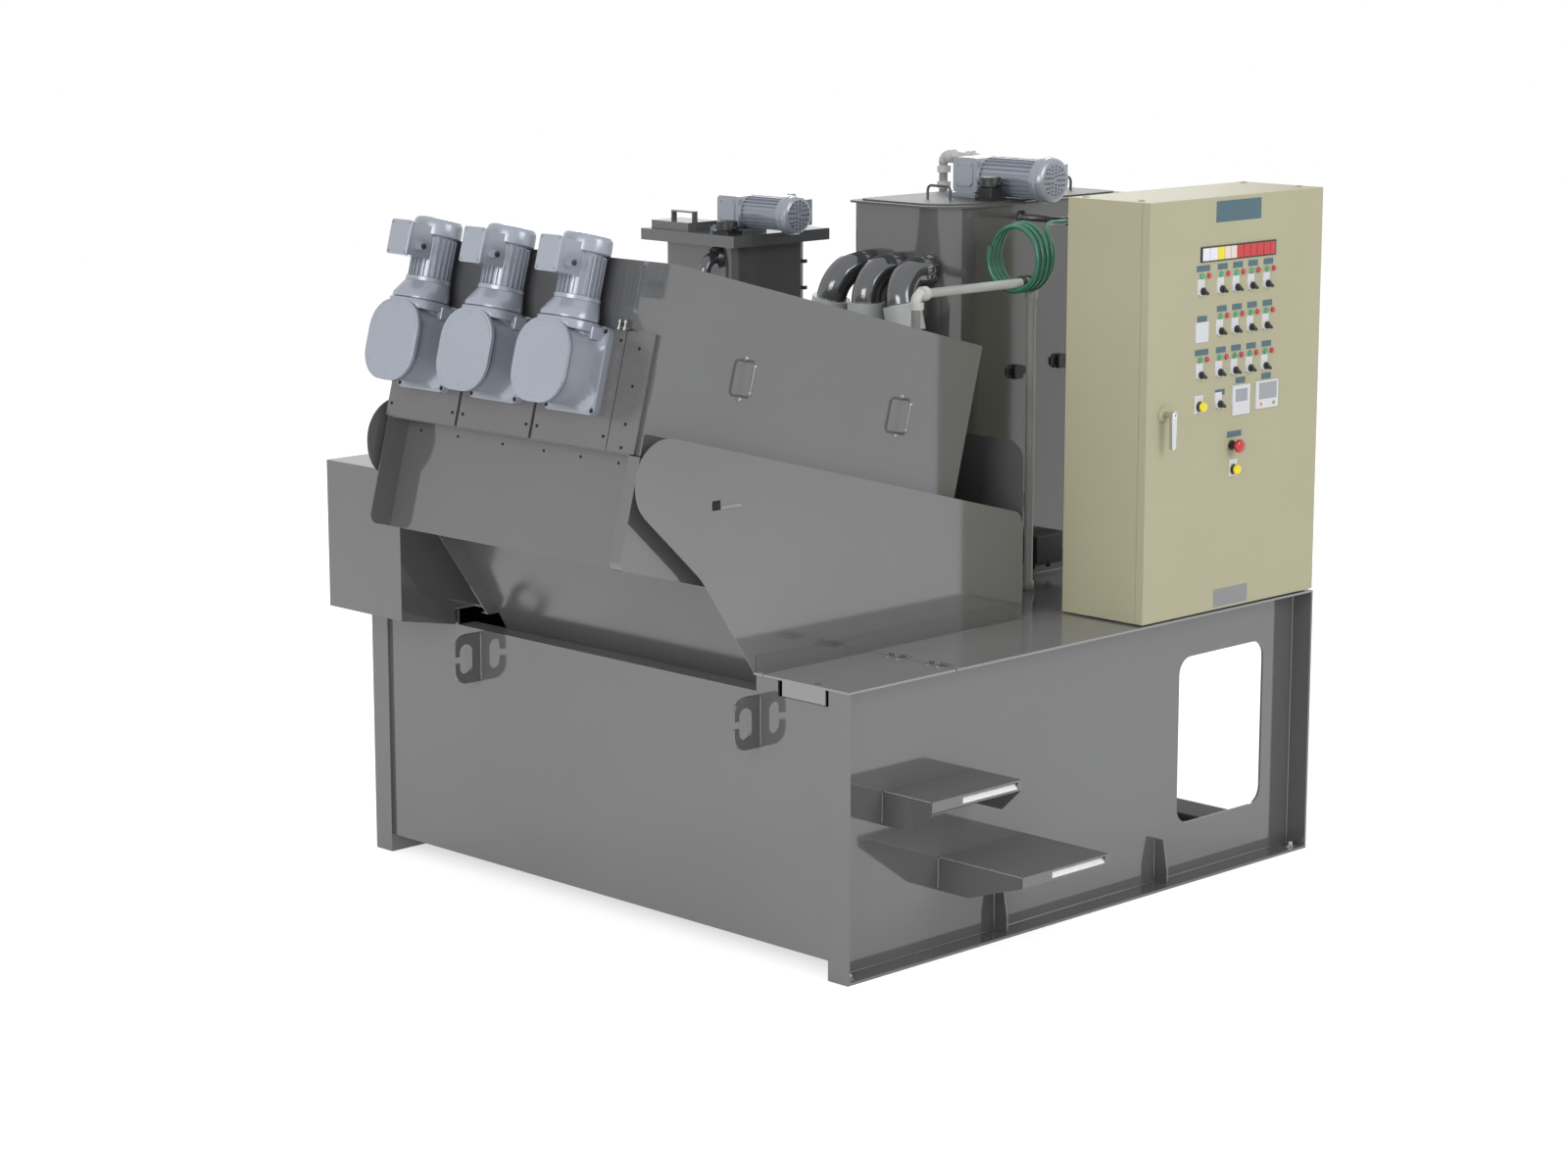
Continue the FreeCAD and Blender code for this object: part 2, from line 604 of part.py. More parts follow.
def finned_body(name, radius, length):
    """A motor housing along +Z from the origin, ribbed with cooling fins."""
    body = doc.addObject("PartDesign::Body", name)
    core = new_sketch(body, name + "_core", "XY", 0)
    add_circle(core, 0, 0, "%s - fin_height" % radius)
    pad = body.newObject("PartDesign::Pad", name + "_pad")
    pad.Profile = core
    bind(pad, "Length", length)
    doc.recompute()
    rib = new_sketch(body, name + "_rib", "XY", 0)
    add_loop(rib, rectangle("%s - fin_height - fin_root" % radius, "-fin_thick / 2",
                            "fin_height + fin_root", "fin_thick"))
    fin = body.newObject("PartDesign::Pad", name + "_fin")
    fin.Profile = rib
    bind(fin, "Length", "%s - fin_height" % length)
    doc.recompute()
    ring = body.newObject("PartDesign::PolarPattern", name + "_fins")
    ring.Originals = [fin]
    ring.Axis = (core, ["N_Axis"])
    ring.Angle = 360
    bind(ring, "Occurrences", "fin_count")
    body.Tip = ring
    doc.recompute()
    return body


def cone(name, start, low, top, height):
    solid = doc.addObject("Part::Cone", name)
    bind(solid, "Radius1", low)
    bind(solid, "Radius2", top)
    bind(solid, "Height", height)
    return place(solid, 0, 0, start)


def fan_cover(name, radius, start):
    """A fan cover along +Z, its far edge rounded off in two cones."""
    middle = "%s - fan_round * (1 - cos(45 deg))" % radius
    shoulder = "%s + fan_length - fan_round" % start
    brow = "%s + fan_round * sin(45 deg)" % shoulder
    return [rod(name + "_wall", "z", 0, 0, start, radius, "fan_length - fan_round"),
            cone(name + "_shoulder", shoulder, radius, middle, "fan_round * sin(45 deg)"),
            cone(name + "_brow", brow, middle, "%s - fan_round" % radius,
                 "fan_round * (1 - sin(45 deg))")]


def motor(name, radius, length, fan, turn, reach):
    """An electric motor along +Z: ribbed housing, fan cover and terminal box.
    The box sits on the side given by turn, its near end reach below the cover."""
    housing = finned_body(name + "_housing", radius, length)
    terminal = box(name + "_terminal", "%s - 3 * fin_height" % radius, "-term_wide / 2",
                   "%s - %s" % (length, reach), "term_deep + 3 * fin_height", "term_wide", "term_tall")
    gland = rod(name + "_gland", "y", "%s + term_deep / 2" % radius, "term_wide / 2",
                "%s - %s + term_tall / 3" % (length, reach), "gland_radius", "gland_length")
    side = fuse(name + "_side", [terminal, gland])
    side.Placement.Rotation = Rotation(UP, turn)
    return fuse(name + "_parts", [housing, side] + fan_cover(name + "_cover", fan, length))


def side_frame():
    """Web with its window, three flanges and two gussets, anchor holes below."""
    web = profile("frame_web", "YZ", rectangle("-half_depth", 0, "base_depth", "top_low"),
                  "web_in", "web_thick",
                  [rectangle("window_front", "window_low", "window_length",
                             "window_high - window_low", "window_corner")])
    holes = [("circle", "half_width - anchor_side", "half_depth - anchor_end", "anchor_radius"),
             ("circle", "half_width - anchor_side", "anchor_end - half_depth", "anchor_radius")]
    foot = profile("frame_foot", "XY", rectangle("web_out", "-half_depth", "flange_width", "base_depth"),
                   0, "flange_thick", holes)
    front = box("frame_front", "web_out", "-half_depth", 0, "flange_width", "flange_thick", "top_low")
    rear = box("frame_rear", "web_out", "half_depth - flange_thick", 0,
               "flange_width", "flange_thick", "top_low")
    corners = [("web_out", "flange_thick"), ("web_out + flange_width - 20", "flange_thick"),
               ("web_out + flange_width - 20", "gusset_knee"),
               ("web_out + gusset_top", "flange_thick + gusset_height"),
               ("web_out", "flange_thick + gusset_height")]
    gussets = [profile("frame_gusset_%d" % n, "XZ", corners,
                       "gusset_front + %d * gusset_pitch" % n, "gusset_thick") for n in (0, 1)]
    return node("right_side_frame", fuse("frame_right", [web, foot, front, rear] + gussets))


def top_plate():
    """Top of the base: open over the trough, cut away under the lid."""
    outline = [("-half_width", "-half_depth"), ("sidebox_right", "-half_depth"),
               ("sidebox_right", "ledge_back"), ("trough_left", "ledge_back"),
               ("trough_left", "guard_rear"), ("trough_right", "guard_rear"),
               ("trough_right", "-half_depth"), ("lid_left - lid_clear", "-half_depth"),
               ("lid_left - lid_clear", "lid_back + lid_clear"), ("half_width", "lid_back + lid_clear"),
               ("half_width", "half_depth"), ("-half_width", "half_depth")]
    return node("top_plate", profile("top", "XY", outline, "top_low", "top_thick"))


def front_plate():
    """Front of the filtrate tank, low beside the trough, notched for the lid lip."""
    outline = [("-web_in", "tank_low"), ("web_in", "tank_low"), ("web_in", "top_low"),
               ("mouth_left + mouth_width", "top_low"), ("mouth_left + mouth_width", "mouth_low"),
               ("mouth_left", "mouth_low"), ("mouth_left", "top_low"), ("trough_right", "top_low"),
               ("trough_right", "front_lip"), ("sidebox_right", "front_lip"),
               ("sidebox_right", "top_low"), ("-web_in", "top_low")]
    return node("front_plate", profile("front", "XZ", outline, "plate_front", "front_thick"))


def tank_plates():
    node("front_ledge", box("ledge", "sidebox_right", "plate_back", "ledge_low",
                            "trough_right - sidebox_right", "ledge_depth", "ledge_thick"))
    node("tank_floor", box("floor", "-web_in", "plate_back", "tank_low",
                           "2 * web_in", "tank_back - plate_back", "tank_thick"))
    node("tank_back_plate", box("back", "-web_in", "tank_back", "tank_low",
                                "2 * web_in", "tank_thick", "top_low - tank_low"))


def cross_members():
    """Angles across the open rear of the base, at the floor and under the top."""
    back = "half_depth - flange_thick"
    lower = [(back, 0), (back, "beam_height"), (back + " - beam_thick", "beam_height"),
             (back + " - beam_thick", "beam_thick"), (back + " - beam_depth", "beam_thick"),
             (back + " - beam_depth", 0)]
    upper = [(y, "top_low - (%s)" % z) for y, z in lower]
    angles = [profile("cross_%d" % n, "YZ", corners, "-web_in", "2 * web_in")
              for n, corners in enumerate((lower, upper))]
    node("rear_cross_members", group("crosses", angles))


def step(name, front, top, reach):
    """A bent sheet step on the right web, open below, with a slot in its nose."""
    nose = "web_out + %s" % reach
    side = [("web_out", "%s - step_drop" % top), ("web_out + step_flat", "%s - step_drop" % top),
            (nose, "%s - step_nose" % top), (nose, top), ("web_out", top)]
    solid = profile(name + "_outer", "XZ", side, front, "step_width")
    inside = box(name + "_inside", "web_out", "%s + step_sheet" % front, "%s - step_drop" % top,
                 "%s - step_sheet" % reach, "step_width - 2 * step_sheet", "step_drop - step_sheet")
    slot = box(name + "_slot", "%s - 2 * step_sheet" % nose,
               "%s + step_width - slot_from_end - slot_length" % front,
               "%s - (step_nose + slot_height) / 2" % top, "3 * step_sheet", "slot_length", "slot_height")
    node(name, cut(name + "_cut", solid, fuse(name + "_tools", [inside, slot])))


def guards():
    """Plates beside the trough, their front noses reaching under the motors."""
    corners = [("-half_depth", "base_height"),
               ("-half_depth + guard_bend_y", "guard_bend_z", "guard_round_bend"),
               ("-half_depth + guard_nose_y", "guard_nose_z", "guard_round_low"),
               ("-half_depth + guard_nose_y", "guard_top_z", "guard_round_top"),
               ("guard_rear", "guard_top_z - guard_fall", "guard_round_rear"),
               ("guard_rear", "base_height")]
    node("right_guard", profile("guard_plate_right", "YZ", corners, "trough_right", "guard_thick"))
    node("left_guard", profile("guard_plate_left", "YZ", corners, "guard_left", "guard_thick"))
    node("rear_splash_plate", profile("splash", "XZ", [
        ("guard_left", "base_height"), ("guard_right", "base_height"),
        ("guard_right", "base_height + splash_height", "splash_round"),
        ("guard_left", "base_height + splash_height", "splash_round")], "guard_rear", "guard_thick"))
    rails = []
    for name, edge, sign in (("right", "guard_right", ""), ("left", "guard_left", "-")):
        shape = [(edge, "base_height"), (edge + " + %srail_width" % (sign or "1 * "), "base_height"),
                 (edge + " + %srail_width" % (sign or "1 * "), "base_height + rail_thick"),
                 (edge + " + %srail_thick" % (sign or "1 * "), "base_height + rail_thick"),
                 (edge + " + %srail_thick" % (sign or "1 * "), "base_height + rail_height"),
                 (edge, "base_height + rail_height")]
        rails.append(profile("rail_" + name, "XZ", shape, "-half_depth + 5", "half_depth - 5 + rail_end"))
    node("guard_rails", group("rails", rails))
    lean = [("ledge_back - wall_thick", "front_lip"), ("ledge_back", "front_lip"),
            ("ledge_back - wall_lean", "wall_top"), ("ledge_back - wall_lean - wall_thick", "wall_top")]
    node("trough_front_wall", profile("wall", "YZ", lean, "trough_left", "trough_right - trough_left"))


def hook_lugs():
    """Two C shaped plates on the front plate, their mouths facing forward."""
    tip = "plate_front - lug_reach"
    near = tip + " + lug_rim"
    far = near + " + lug_hole_width"
    middle = "lug_low + lug_height / 2"
    bore = "lug_hole_width / 2 - 1"
    shape = [("plate_front", "lug_low"), (tip, "lug_low", "lug_round"), (tip, middle + " - lug_gap / 2"),
             (near, middle + " - lug_gap / 2"), (near, middle + " - lug_hole_height / 2", bore),
             (far, middle + " - lug_hole_height / 2", bore), (far, middle + " + lug_hole_height / 2", bore),
             (near, middle + " + lug_hole_height / 2", bore), (near, middle + " + lug_gap / 2"),
             (tip, middle + " + lug_gap / 2"), (tip, "lug_low + lug_height", "lug_round"),
             ("plate_front", "lug_low + lug_height")]
    lugs = [profile("lug_" + side, "YZ", shape, "lug_" + side, "lug_thick") for side in ("left", "right")]
    node("hook_lugs", group("lugs", lugs))


def side_box():
    """Sheet box on the left of the base, stepping down in front of it."""
    front = "-half_depth - sidebox_front"

    def outline(wall, top):
        return [(front + " + %s" % wall, "sidebox_low + %s" % wall),
                ("-half_depth - %s" % wall, "front_lip + 2 + 1.2 * %s" % wall),
                ("-half_depth - %s" % wall, "base_height + %s" % wall),
                ("sidebox_rear - %s" % wall, "base_height + %s" % wall),
                ("sidebox_rear - %s" % wall, top), (front + " + %s" % wall, top)]
    outer = profile("sidebox_outer", "YZ", outline("0", "sidebox_top"), "sidebox_left",
                    "sidebox_right - sidebox_left")
    inner = profile("sidebox_inner", "YZ", outline("sidebox_sheet", "sidebox_top + 10"),
                    "sidebox_left + sidebox_sheet", "sidebox_right - sidebox_left - 2 * sidebox_sheet")
    node("side_box", cut("sidebox", outer, inner))
    node("side_box_cover", box("sidebox_cover", "sidebox_left", front, "sidebox_top",
                               "sidebox_right - sidebox_left", "sidebox_rear - (%s)" % front,
                               "sidebox_sheet"))


def casing():
    """Side walls, rear wall and roof of the press."""
    shape = [(0, "-casing_sheet"), (0, "-press_depth", "casing_corner"),
             ("press_length", "-press_depth"), ("press_length", "-casing_sheet")]
    walls = [profile("casing_" + side, "YZ", shape, start, "casing_sheet")
             for side, start in (("left", "press_left"), ("right", "wall_right"))]
    rear = box("casing_rear", "wall_left", "press_length - casing_sheet", "-press_depth",
               "wall_right - wall_left", "casing_sheet", "press_depth - casing_sheet")
    node("press_casing", in_press(fuse("casing_walls", walls + [rear])))
    roof = box("roof_sheet", "press_left", 0, "-casing_sheet", "press_right - press_left",
               "press_length", "casing_sheet")
    node("press_roof", in_press(group("roof_tilted", [roof])))


def press_front():
    """Frame plate, the three motor plates, hood panel and discharge bulkhead."""
    inner = "wall_right - wall_left"
    shafts = [("circle", "screw_x + %d * plate_pitch" % n, "-drive_axis",
               "shaft_radius + shaft_clear") for n in range(3)]
    frame = profile("frame_plate", "XZ", rectangle("wall_left", "-plates_low", inner,
                                                   "plates_low - casing_sheet"), 0, "frame_thick", shafts)
    node("front_frame", in_press(frame))
    plates = []
    for n in range(3):
        left = "screw_x + %d * plate_pitch - plate_width / 2" % n
        plates.append(profile("motor_plate_%d" % n, "XZ",
                              rectangle(left, "-plates_low", "plate_width", "plates_low - plates_top"),
                              "-plate_thick", "plate_thick", [shafts[n]]))
    strip = "screw_x + 2 * plate_pitch + plate_width / 2 + strip_gap"
    plates.append(box("motor_strip", strip, "-plate_thick", "-plates_low",
                      "press_right + strip_overlap - (%s)" % strip, "plate_thick",
                      "plates_low - plates_top"))
    node("motor_plates", in_press(group("plates", plates)))
    shelf = box("hood_shelf", "wall_left", 0, "-plates_low - casing_sheet", inner,
                "hood_recess + casing_sheet", "casing_sheet")
    panel = box("hood_panel", "wall_left", "hood_recess", "-press_depth", inner, "casing_sheet",
                "press_depth - plates_low")
    node("discharge_hood", in_press(fuse("hood", [shelf, panel])))
    holes = [("circle", "screw_x + %d * plate_pitch" % n, "-drive_axis", "disc_radius + disc_gap / 2")
             for n in range(3)]
    wall = profile("bulkhead_plate", "XZ", rectangle("wall_left", "-press_depth", inner,
                                                     "press_depth - casing_sheet"),
                   "bulkhead_at", "frame_thick", holes)
    node("discharge_bulkhead", in_press(wall))


def screws():
    """Screw shafts with their back pressure discs and the disc drums behind."""
    pieces = []
    for n in range(3):
        x = "screw_x + %d * plate_pitch" % n
        shaft = rod("shaft_%d" % n, "y", x, "-plate_thick", "-drive_axis", "shaft_radius",
                    "press_length - casing_sheet + plate_thick")
        disc = rod("disc_%d" % n, "y", x, "bulkhead_at - disc_gap - disc_thick", "-drive_axis",
                   "disc_radius", "disc_thick")
        drum = rod("drum_%d" % n, "y", x, "bulkhead_at - disc_gap / 2", "-drive_axis", "disc_radius",
                   "press_length - bulkhead_at - 8 * casing_sheet")
        pieces.append(fuse("screw_%d" % n, [shaft, disc, drum]))
    node("screw_drums", in_press(group("screw_set", pieces)))


def pull_handle(name, place_y):
    """A bent wire handle out of the side cover, its span across the press."""
    high = "-pull_mid + pull_span / 2 - pull_wire / 2"
    out = "pull_reach - pull_wire / 2 - pull_round"
    pieces = [rod(name + "_mid", "z", "cover_out + pull_reach - pull_wire / 2", place_y,
                  "-pull_mid - pull_span / 2 + pull_wire / 2 + pull_round", "pull_wire / 2",
                  "pull_span - pull_wire - 2 * pull_round")]
    for sign, level, way in ((1, high, UP), (-1, "-2 * pull_mid - (%s)" % high, -UP)):
        pieces.append(rod("%s_leg_%d" % (name, sign + 1), "x", "cover_out", place_y, level,
                          "pull_wire / 2", out))
        pieces.append(elbow("%s_bend_%d" % (name, sign + 1), "pull_wire / 2", "pull_round",
                            "cover_out + " + out, place_y, "(%s) - %d * pull_round" % (level, sign),
                            RIGHT, way, WIRE_SIDES))
    return pieces


def side_covers():
    """Right side cover of the press with two handles, and the channel below it."""
    tray = box("tray", "press_right", 0, "-plates_low", "cover_deep", "press_length", "plates_low")
    inside = box("tray_inside", "press_right - 5", "casing_sheet", "-plates_low + casing_sheet",
                 "cover_deep + 5 - casing_sheet", "press_length - 2 * casing_sheet",
                 "plates_low - 2 * casing_sheet")
    pieces = [cut("tray_cut", tray, inside)]
    pieces += pull_handle("pull_front", "pull_front") + pull_handle("pull_rear", "pull_rear")
    node("right_side_cover", in_press(fuse("side_cover", pieces)))
    low = [("0", "-plates_low - cover_gap"), ("0", "-press_depth", "casing_corner"),
           ("press_length", "-press_depth"), ("press_length", "-plates_low - cover_gap")]
    channel = profile("channel", "YZ", low, "press_right", "cover_deep")
    hollow = box("channel_inside", "press_right - 5", "casing_corner", "-press_depth + casing_sheet",
                 "cover_deep + 5 - casing_sheet", "press_length - casing_sheet - casing_corner",
                 "press_depth - plates_low - cover_gap - 2 * casing_sheet")
    node("lower_side_channel", in_press(cut("channel_cut", channel, hollow)))


def rounded_block(name, wide, tall, corner, start, length):
    """A block along the press axis with rounded corners."""
    return profile(name, "XZ", rectangle("-%s / 2" % wide, "-%s / 2" % tall, wide, tall, corner),
                   start, length)


def bell(name):
    """Adapter from the gearbox top to the motor, oval below and round above."""
    body = doc.addObject("PartDesign::Body", name)
    rings = []
    for level, wide, deep in (("gear_tall / 2 - bell_sink", "bell_wide", "bell_deep"),
                              ("drive_axis - bell_top", "2 * motor_radius", "2 * motor_radius")):
        ring = new_sketch(body, name + "_ring_%d" % len(rings), "XY", level)
        angles = [360 * (n + 0.5) / BELL_SIDES for n in range(BELL_SIDES)]
        add_loop(ring, [("%s / 2 * cos(%f deg)" % (wide, angle),
                         "-motor_off + %s / 2 * sin(%f deg) - (%s - 2 * motor_radius) / 2"
                         % (deep, angle, deep)) for angle in angles])
        rings.append(ring)
    doc.recompute()
    loft = body.newObject("PartDesign::AdditiveLoft", name + "_loft")
    loft.Profile = rings[0]
    loft.Sections = [rings[1]]
    loft.Ruled = True
    doc.recompute()
    return body


def gearmotor(number):
    """Gearbox on its motor plate with the motor standing on it, one per screw."""
    x = "screw_x + %d * plate_pitch" % (number - 1)
    tag = "gear_%d" % number
    flange = rounded_block(tag + "_flange", "flange_wide", "flange_tall", "flange_corner",
                           "-plate_thick - flange_plate", "flange_plate")
    body = rounded_block(tag + "_body", "gear_wide", "gear_tall", "gear_corner",
                         "-plate_thick - flange_plate - gear_deep", "gear_deep")
    lid = rounded_block(tag + "_lid", "lid_wide", "lid_tall", "lid_corner",
                        "-plate_thick - flange_plate - gear_deep - lid_deep", "lid_deep")
    parts = fuse(tag + "_parts", [flange, body, lid, bell(tag + "_bell")])
    place(parts, x, 0, "-drive_axis")
    node("screw_gearbox_%d" % number, in_press(group(tag + "_tilted", [parts])))
    drive = motor("drive_%d" % number, "motor_radius", "motor_body", "fan_radius", -90, "70")
    place(drive, x, "-motor_off", "-bell_top")
    node("screw_motor_%d" % number, in_press(group("drive_%d_tilted" % number, [drive])))


def round_handle(name, x, y, z):
    """A bent round bar handle along X standing on a level face."""
    level = "%s + bar_rise - bar_radius" % z
    left = "%s + bar_radius" % x
    right = "%s + bar_span - bar_radius" % x
    bars = [rod(name + "_top", "x", left + " + bar_round", y, level, "bar_radius",
                "bar_span - 2 * bar_radius - 2 * bar_round")]
    for n, (foot, centre, way) in enumerate(((left, left + " + bar_round", -RIGHT),
                                             (right, right + " - bar_round", RIGHT))):
        bars.append(rod("%s_leg_%d" % (name, n), "z", foot, y, z, "bar_radius",
                        "bar_rise - bar_radius - bar_round"))
        bars.append(elbow("%s_bend_%d" % (name, n), "bar_radius", "bar_round", centre, y,
                          level + " - bar_round", way, UP, WIRE_SIDES))
    return bars


def mixing_tank():
    """Small square tank with its lid, hatch and mixer."""
    left, front, size = "small_tank_left", "small_tank_front", "small_tank_size"
    outer = profile("small_outer", "XY", rectangle(left, front, size, size, "small_tank_round"),
                    "base_height", "small_lid_low - base_height")
    inner = profile("small_inner", "XY", rectangle(left + " + tank_sheet", front + " + tank_sheet",
                                                   size + " - 2 * tank_sheet", size + " - 2 * tank_sheet",
                                                   "small_tank_round - tank_sheet"),
                    "base_height + tank_sheet", "small_lid_low - base_height")
    node("mixing_tank", cut("small_shell", outer, inner))
    lid_x, lid_y = left + " - small_lid_over", front + " - small_lid_over"
    span = size + " + 2 * small_lid_over"
    lid = box("small_lid", lid_x, lid_y, "small_lid_top - small_lid_tall", span, span, "small_lid_tall")
    under = box("small_lid_under", lid_x + " + tank_sheet", lid_y + " + tank_sheet",
                "small_lid_top - small_lid_tall - 5", span + " - 2 * tank_sheet",
                span + " - 2 * tank_sheet", "small_lid_tall + 5 - tank_sheet")
    node("mixing_tank_lid", cut("small_lid_cut", lid, under))
    hatch_x, hatch_y = lid_x + " + hatch_inset", lid_y + " + hatch_inset"
    tray = box("hatch_block", hatch_x, hatch_y, "small_lid_top", "hatch_width", "hatch_depth",
               "hatch_height")
    hollow = box("hatch_hollow", hatch_x + " + tank_sheet", hatch_y + " + tank_sheet",
                 "small_lid_top - 5", "hatch_width - 2 * tank_sheet", "hatch_depth - 2 * tank_sheet",
                 "hatch_height + 5 - tank_sheet")
    foot = hatch_x + " + (hatch_width - hatch_handle_span) / 2"
    deck = "small_lid_top + hatch_height"
    loop = profile("hatch_loop", "XZ", rectangle(foot, deck, "hatch_handle_span", "hatch_handle_rise"),
                   hatch_y + " + (hatch_depth - hatch_bar_wide) / 2", "hatch_bar_wide",
                   [rectangle(foot + " + hatch_bar", deck + " + 0.01", "hatch_handle_span - 2 * hatch_bar",
                              "hatch_handle_rise - hatch_bar - 0.01")])
    node("mixing_tank_hatch", fuse("hatch", [cut("hatch_cut", tray, hollow), loop]))


def mixer(tag, base, x, y, wide, deep, tall, radius, body, fan, turn):
    """Right angle gearbox on a tank lid and its motor, pointing to +X."""
    seat = box(tag + "_seat", "%s - %s / 2 - seat_over" % (x, wide), "%s - %s / 2 - seat_over" % (y, deep),
               base, "%s + seat_over + collar_length / 2" % wide, "%s + 2 * seat_over" % deep,
               "seat_thick")
    case = profile(tag + "_case", "XZ",
                   rectangle("%s - %s / 2" % (x, wide), base + " + seat_thick", wide,
                             "%s - seat_thick" % tall, "case_corner"), "%s - %s / 2" % (y, deep), deep)
    level = "%s + %s - %s + axis_lift" % (base, tall, radius)
    collar = rod(tag + "_collar", "x", "%s + %s / 2 - collar_sink" % (x, wide), y, level, radius,
                 "collar_length")
    node(tag + "_gearbox", fuse(tag + "_gear", [seat, case, collar]))
    drive = motor(tag, radius, body, fan, turn, "100")
    place(drive, "%s + %s / 2 + collar_length - collar_sink" % (x, wide), y, level, *TURNS["x"])
    node(tag + "_motor", drive)


def flocculation_tank():
    """Large tank with one wide rounded corner, its roof plates and handles."""
    left, front = "big_tank_left", "big_tank_front"

    def outline(grow, near, wide):
        x0, y0 = "%s - %s" % (left, grow), "%s - %s" % (front, grow)
        x1 = "big_tank_right + %s" % grow
        y1 = "%s + big_tank_depth + %s" % (front, grow)
        return [(x0, y0, near), (x1, y0, wide), (x1, y1, near), (x0, y1, near)]
    outer = profile("big_outer", "XY", outline("0", "small_tank_round", "big_tank_round"), "base_height",
                    "big_tank_top - base_height")
    inner = profile("big_inner", "XY", outline("(-tank_sheet)", "small_tank_round - tank_sheet",
                                               "big_tank_round - tank_sheet"),
                    "base_height + tank_sheet", "big_tank_top - base_height")
    node("flocculation_tank", cut("big_shell", outer, inner))
    roof = profile("big_roof", "XY", outline("roof_over", "small_tank_round", "big_tank_round"),
                   "big_tank_top", "roof_thick")
    raised = profile("big_raised", "XY", outline("(roof_over - hatch_plate_inset)", "small_tank_round",
                                                 "big_tank_round"), "roof_top", "hatch_plate")
    handles = round_handle("bar_a", "bar_left", "bar_front", "roof_deck")
    handles += round_handle("bar_b", "bar_left", "bar_rear", "roof_deck")
    node("flocculation_tank_roof", fuse("big_roof_set", [roof, raised] + handles))


def sensor(name, x, y, base, wide, deep):
    """A level sensor: bracket plate with a round head in its middle."""
    return node(name, fuse(name + "_parts", [
        box(name + "_plate", x, y, base, wide, deep, "sensor_plate"),
        rod(name + "_head", "z", "%s + %s / 2" % (x, wide), "%s + %s / 2" % (y, deep),
            "%s + sensor_plate" % base, "sensor_head", "sensor_tall")]))


def tank_sensors():
    seat_front = "small_gear_y - small_gear_deep / 2 - seat_over"
    sensor("mixing_level_sensor", "drain_x", seat_front + " - sensor_gap - sensor_deep",
           "small_lid_top", "sensor_wide", "sensor_deep")
    sensor("flocculation_level_sensor", "big_sensor_x", "big_sensor_y", "roof_deck", "sensor_deep",
           "sensor_wide")
    node("junction_box", box("junction", "big_tank_right", "junction_y", "base_height + junction_rise",
                             "junction_deep", "junction_wide", "junction_tall"))


def sludge_pipes(block):
    """Three pipes from the tank to the feed box, the outer two leaning out."""
    pipes = []
    sleeves = []
    drop = "sludge_high - feed_top"
    floor = box("pipe_floor", "sludge_mid - feed_width", "sludge_y - feed_width", "feed_top - feed_width",
                "2 * feed_width", "2 * feed_width", "feed_width")
    for n, lean in enumerate((-1, 0, 1)):
        tag = "sludge_%d" % n
        down = "-(sludge_straight + sludge_bend)"
        straight = rod(tag + "_out", "y", 0, "-sludge_straight", 0, "sludge_radius", "sludge_straight")
        bend = elbow(tag + "_bend", "sludge_radius", "sludge_bend", 0, "-sludge_straight",
                     "-sludge_bend", UP, -REAR)
        leg = rod(tag + "_leg", "z", 0, down, "-(%s) - sludge_sink" % drop, "sludge_radius",
                  "%s + sludge_sink - sludge_bend" % drop)
        outer = rod(tag + "_sleeve", "z", 0, down, "-sludge_bend - sleeve_start - sleeve_length",
                    "sleeve_radius", "sleeve_length")
        pipe = fuse(tag + "_pipe", [straight, bend, leg])
        bore = rod(tag + "_bore", "z", 0, down, "-sludge_bend - sleeve_start - sleeve_length - 5",
                   "sludge_radius + 0.3", "sleeve_length + 10")
        sleeve = cut(tag + "_ring", outer, bore)
        for piece in (pipe, sleeve):
            place(piece, "sludge_mid + %d * sludge_pitch" % lean, "big_tank_front", "sludge_high",
                  Vector(0, -lean or 1, 0), 1)
            bind(piece, "Placement.Rotation.Angle", "%d * sludge_lean * 1 deg" % abs(lean))
        pipes.append(cut(tag + "_cut", pipe, floor))
        sleeves.append(sleeve)
    node("sludge_pipes", group("sludge_set", pipes))
    node("pipe_couplings", group("sleeve_set", sleeves))
    feed = box("feed_block", "sludge_mid - feed_width / 2", "feed_front", "feed_low", "feed_width",
               "feed_rear - feed_front", "feed_tall")
    node("feed_box", cut("feed_cut", feed, block))


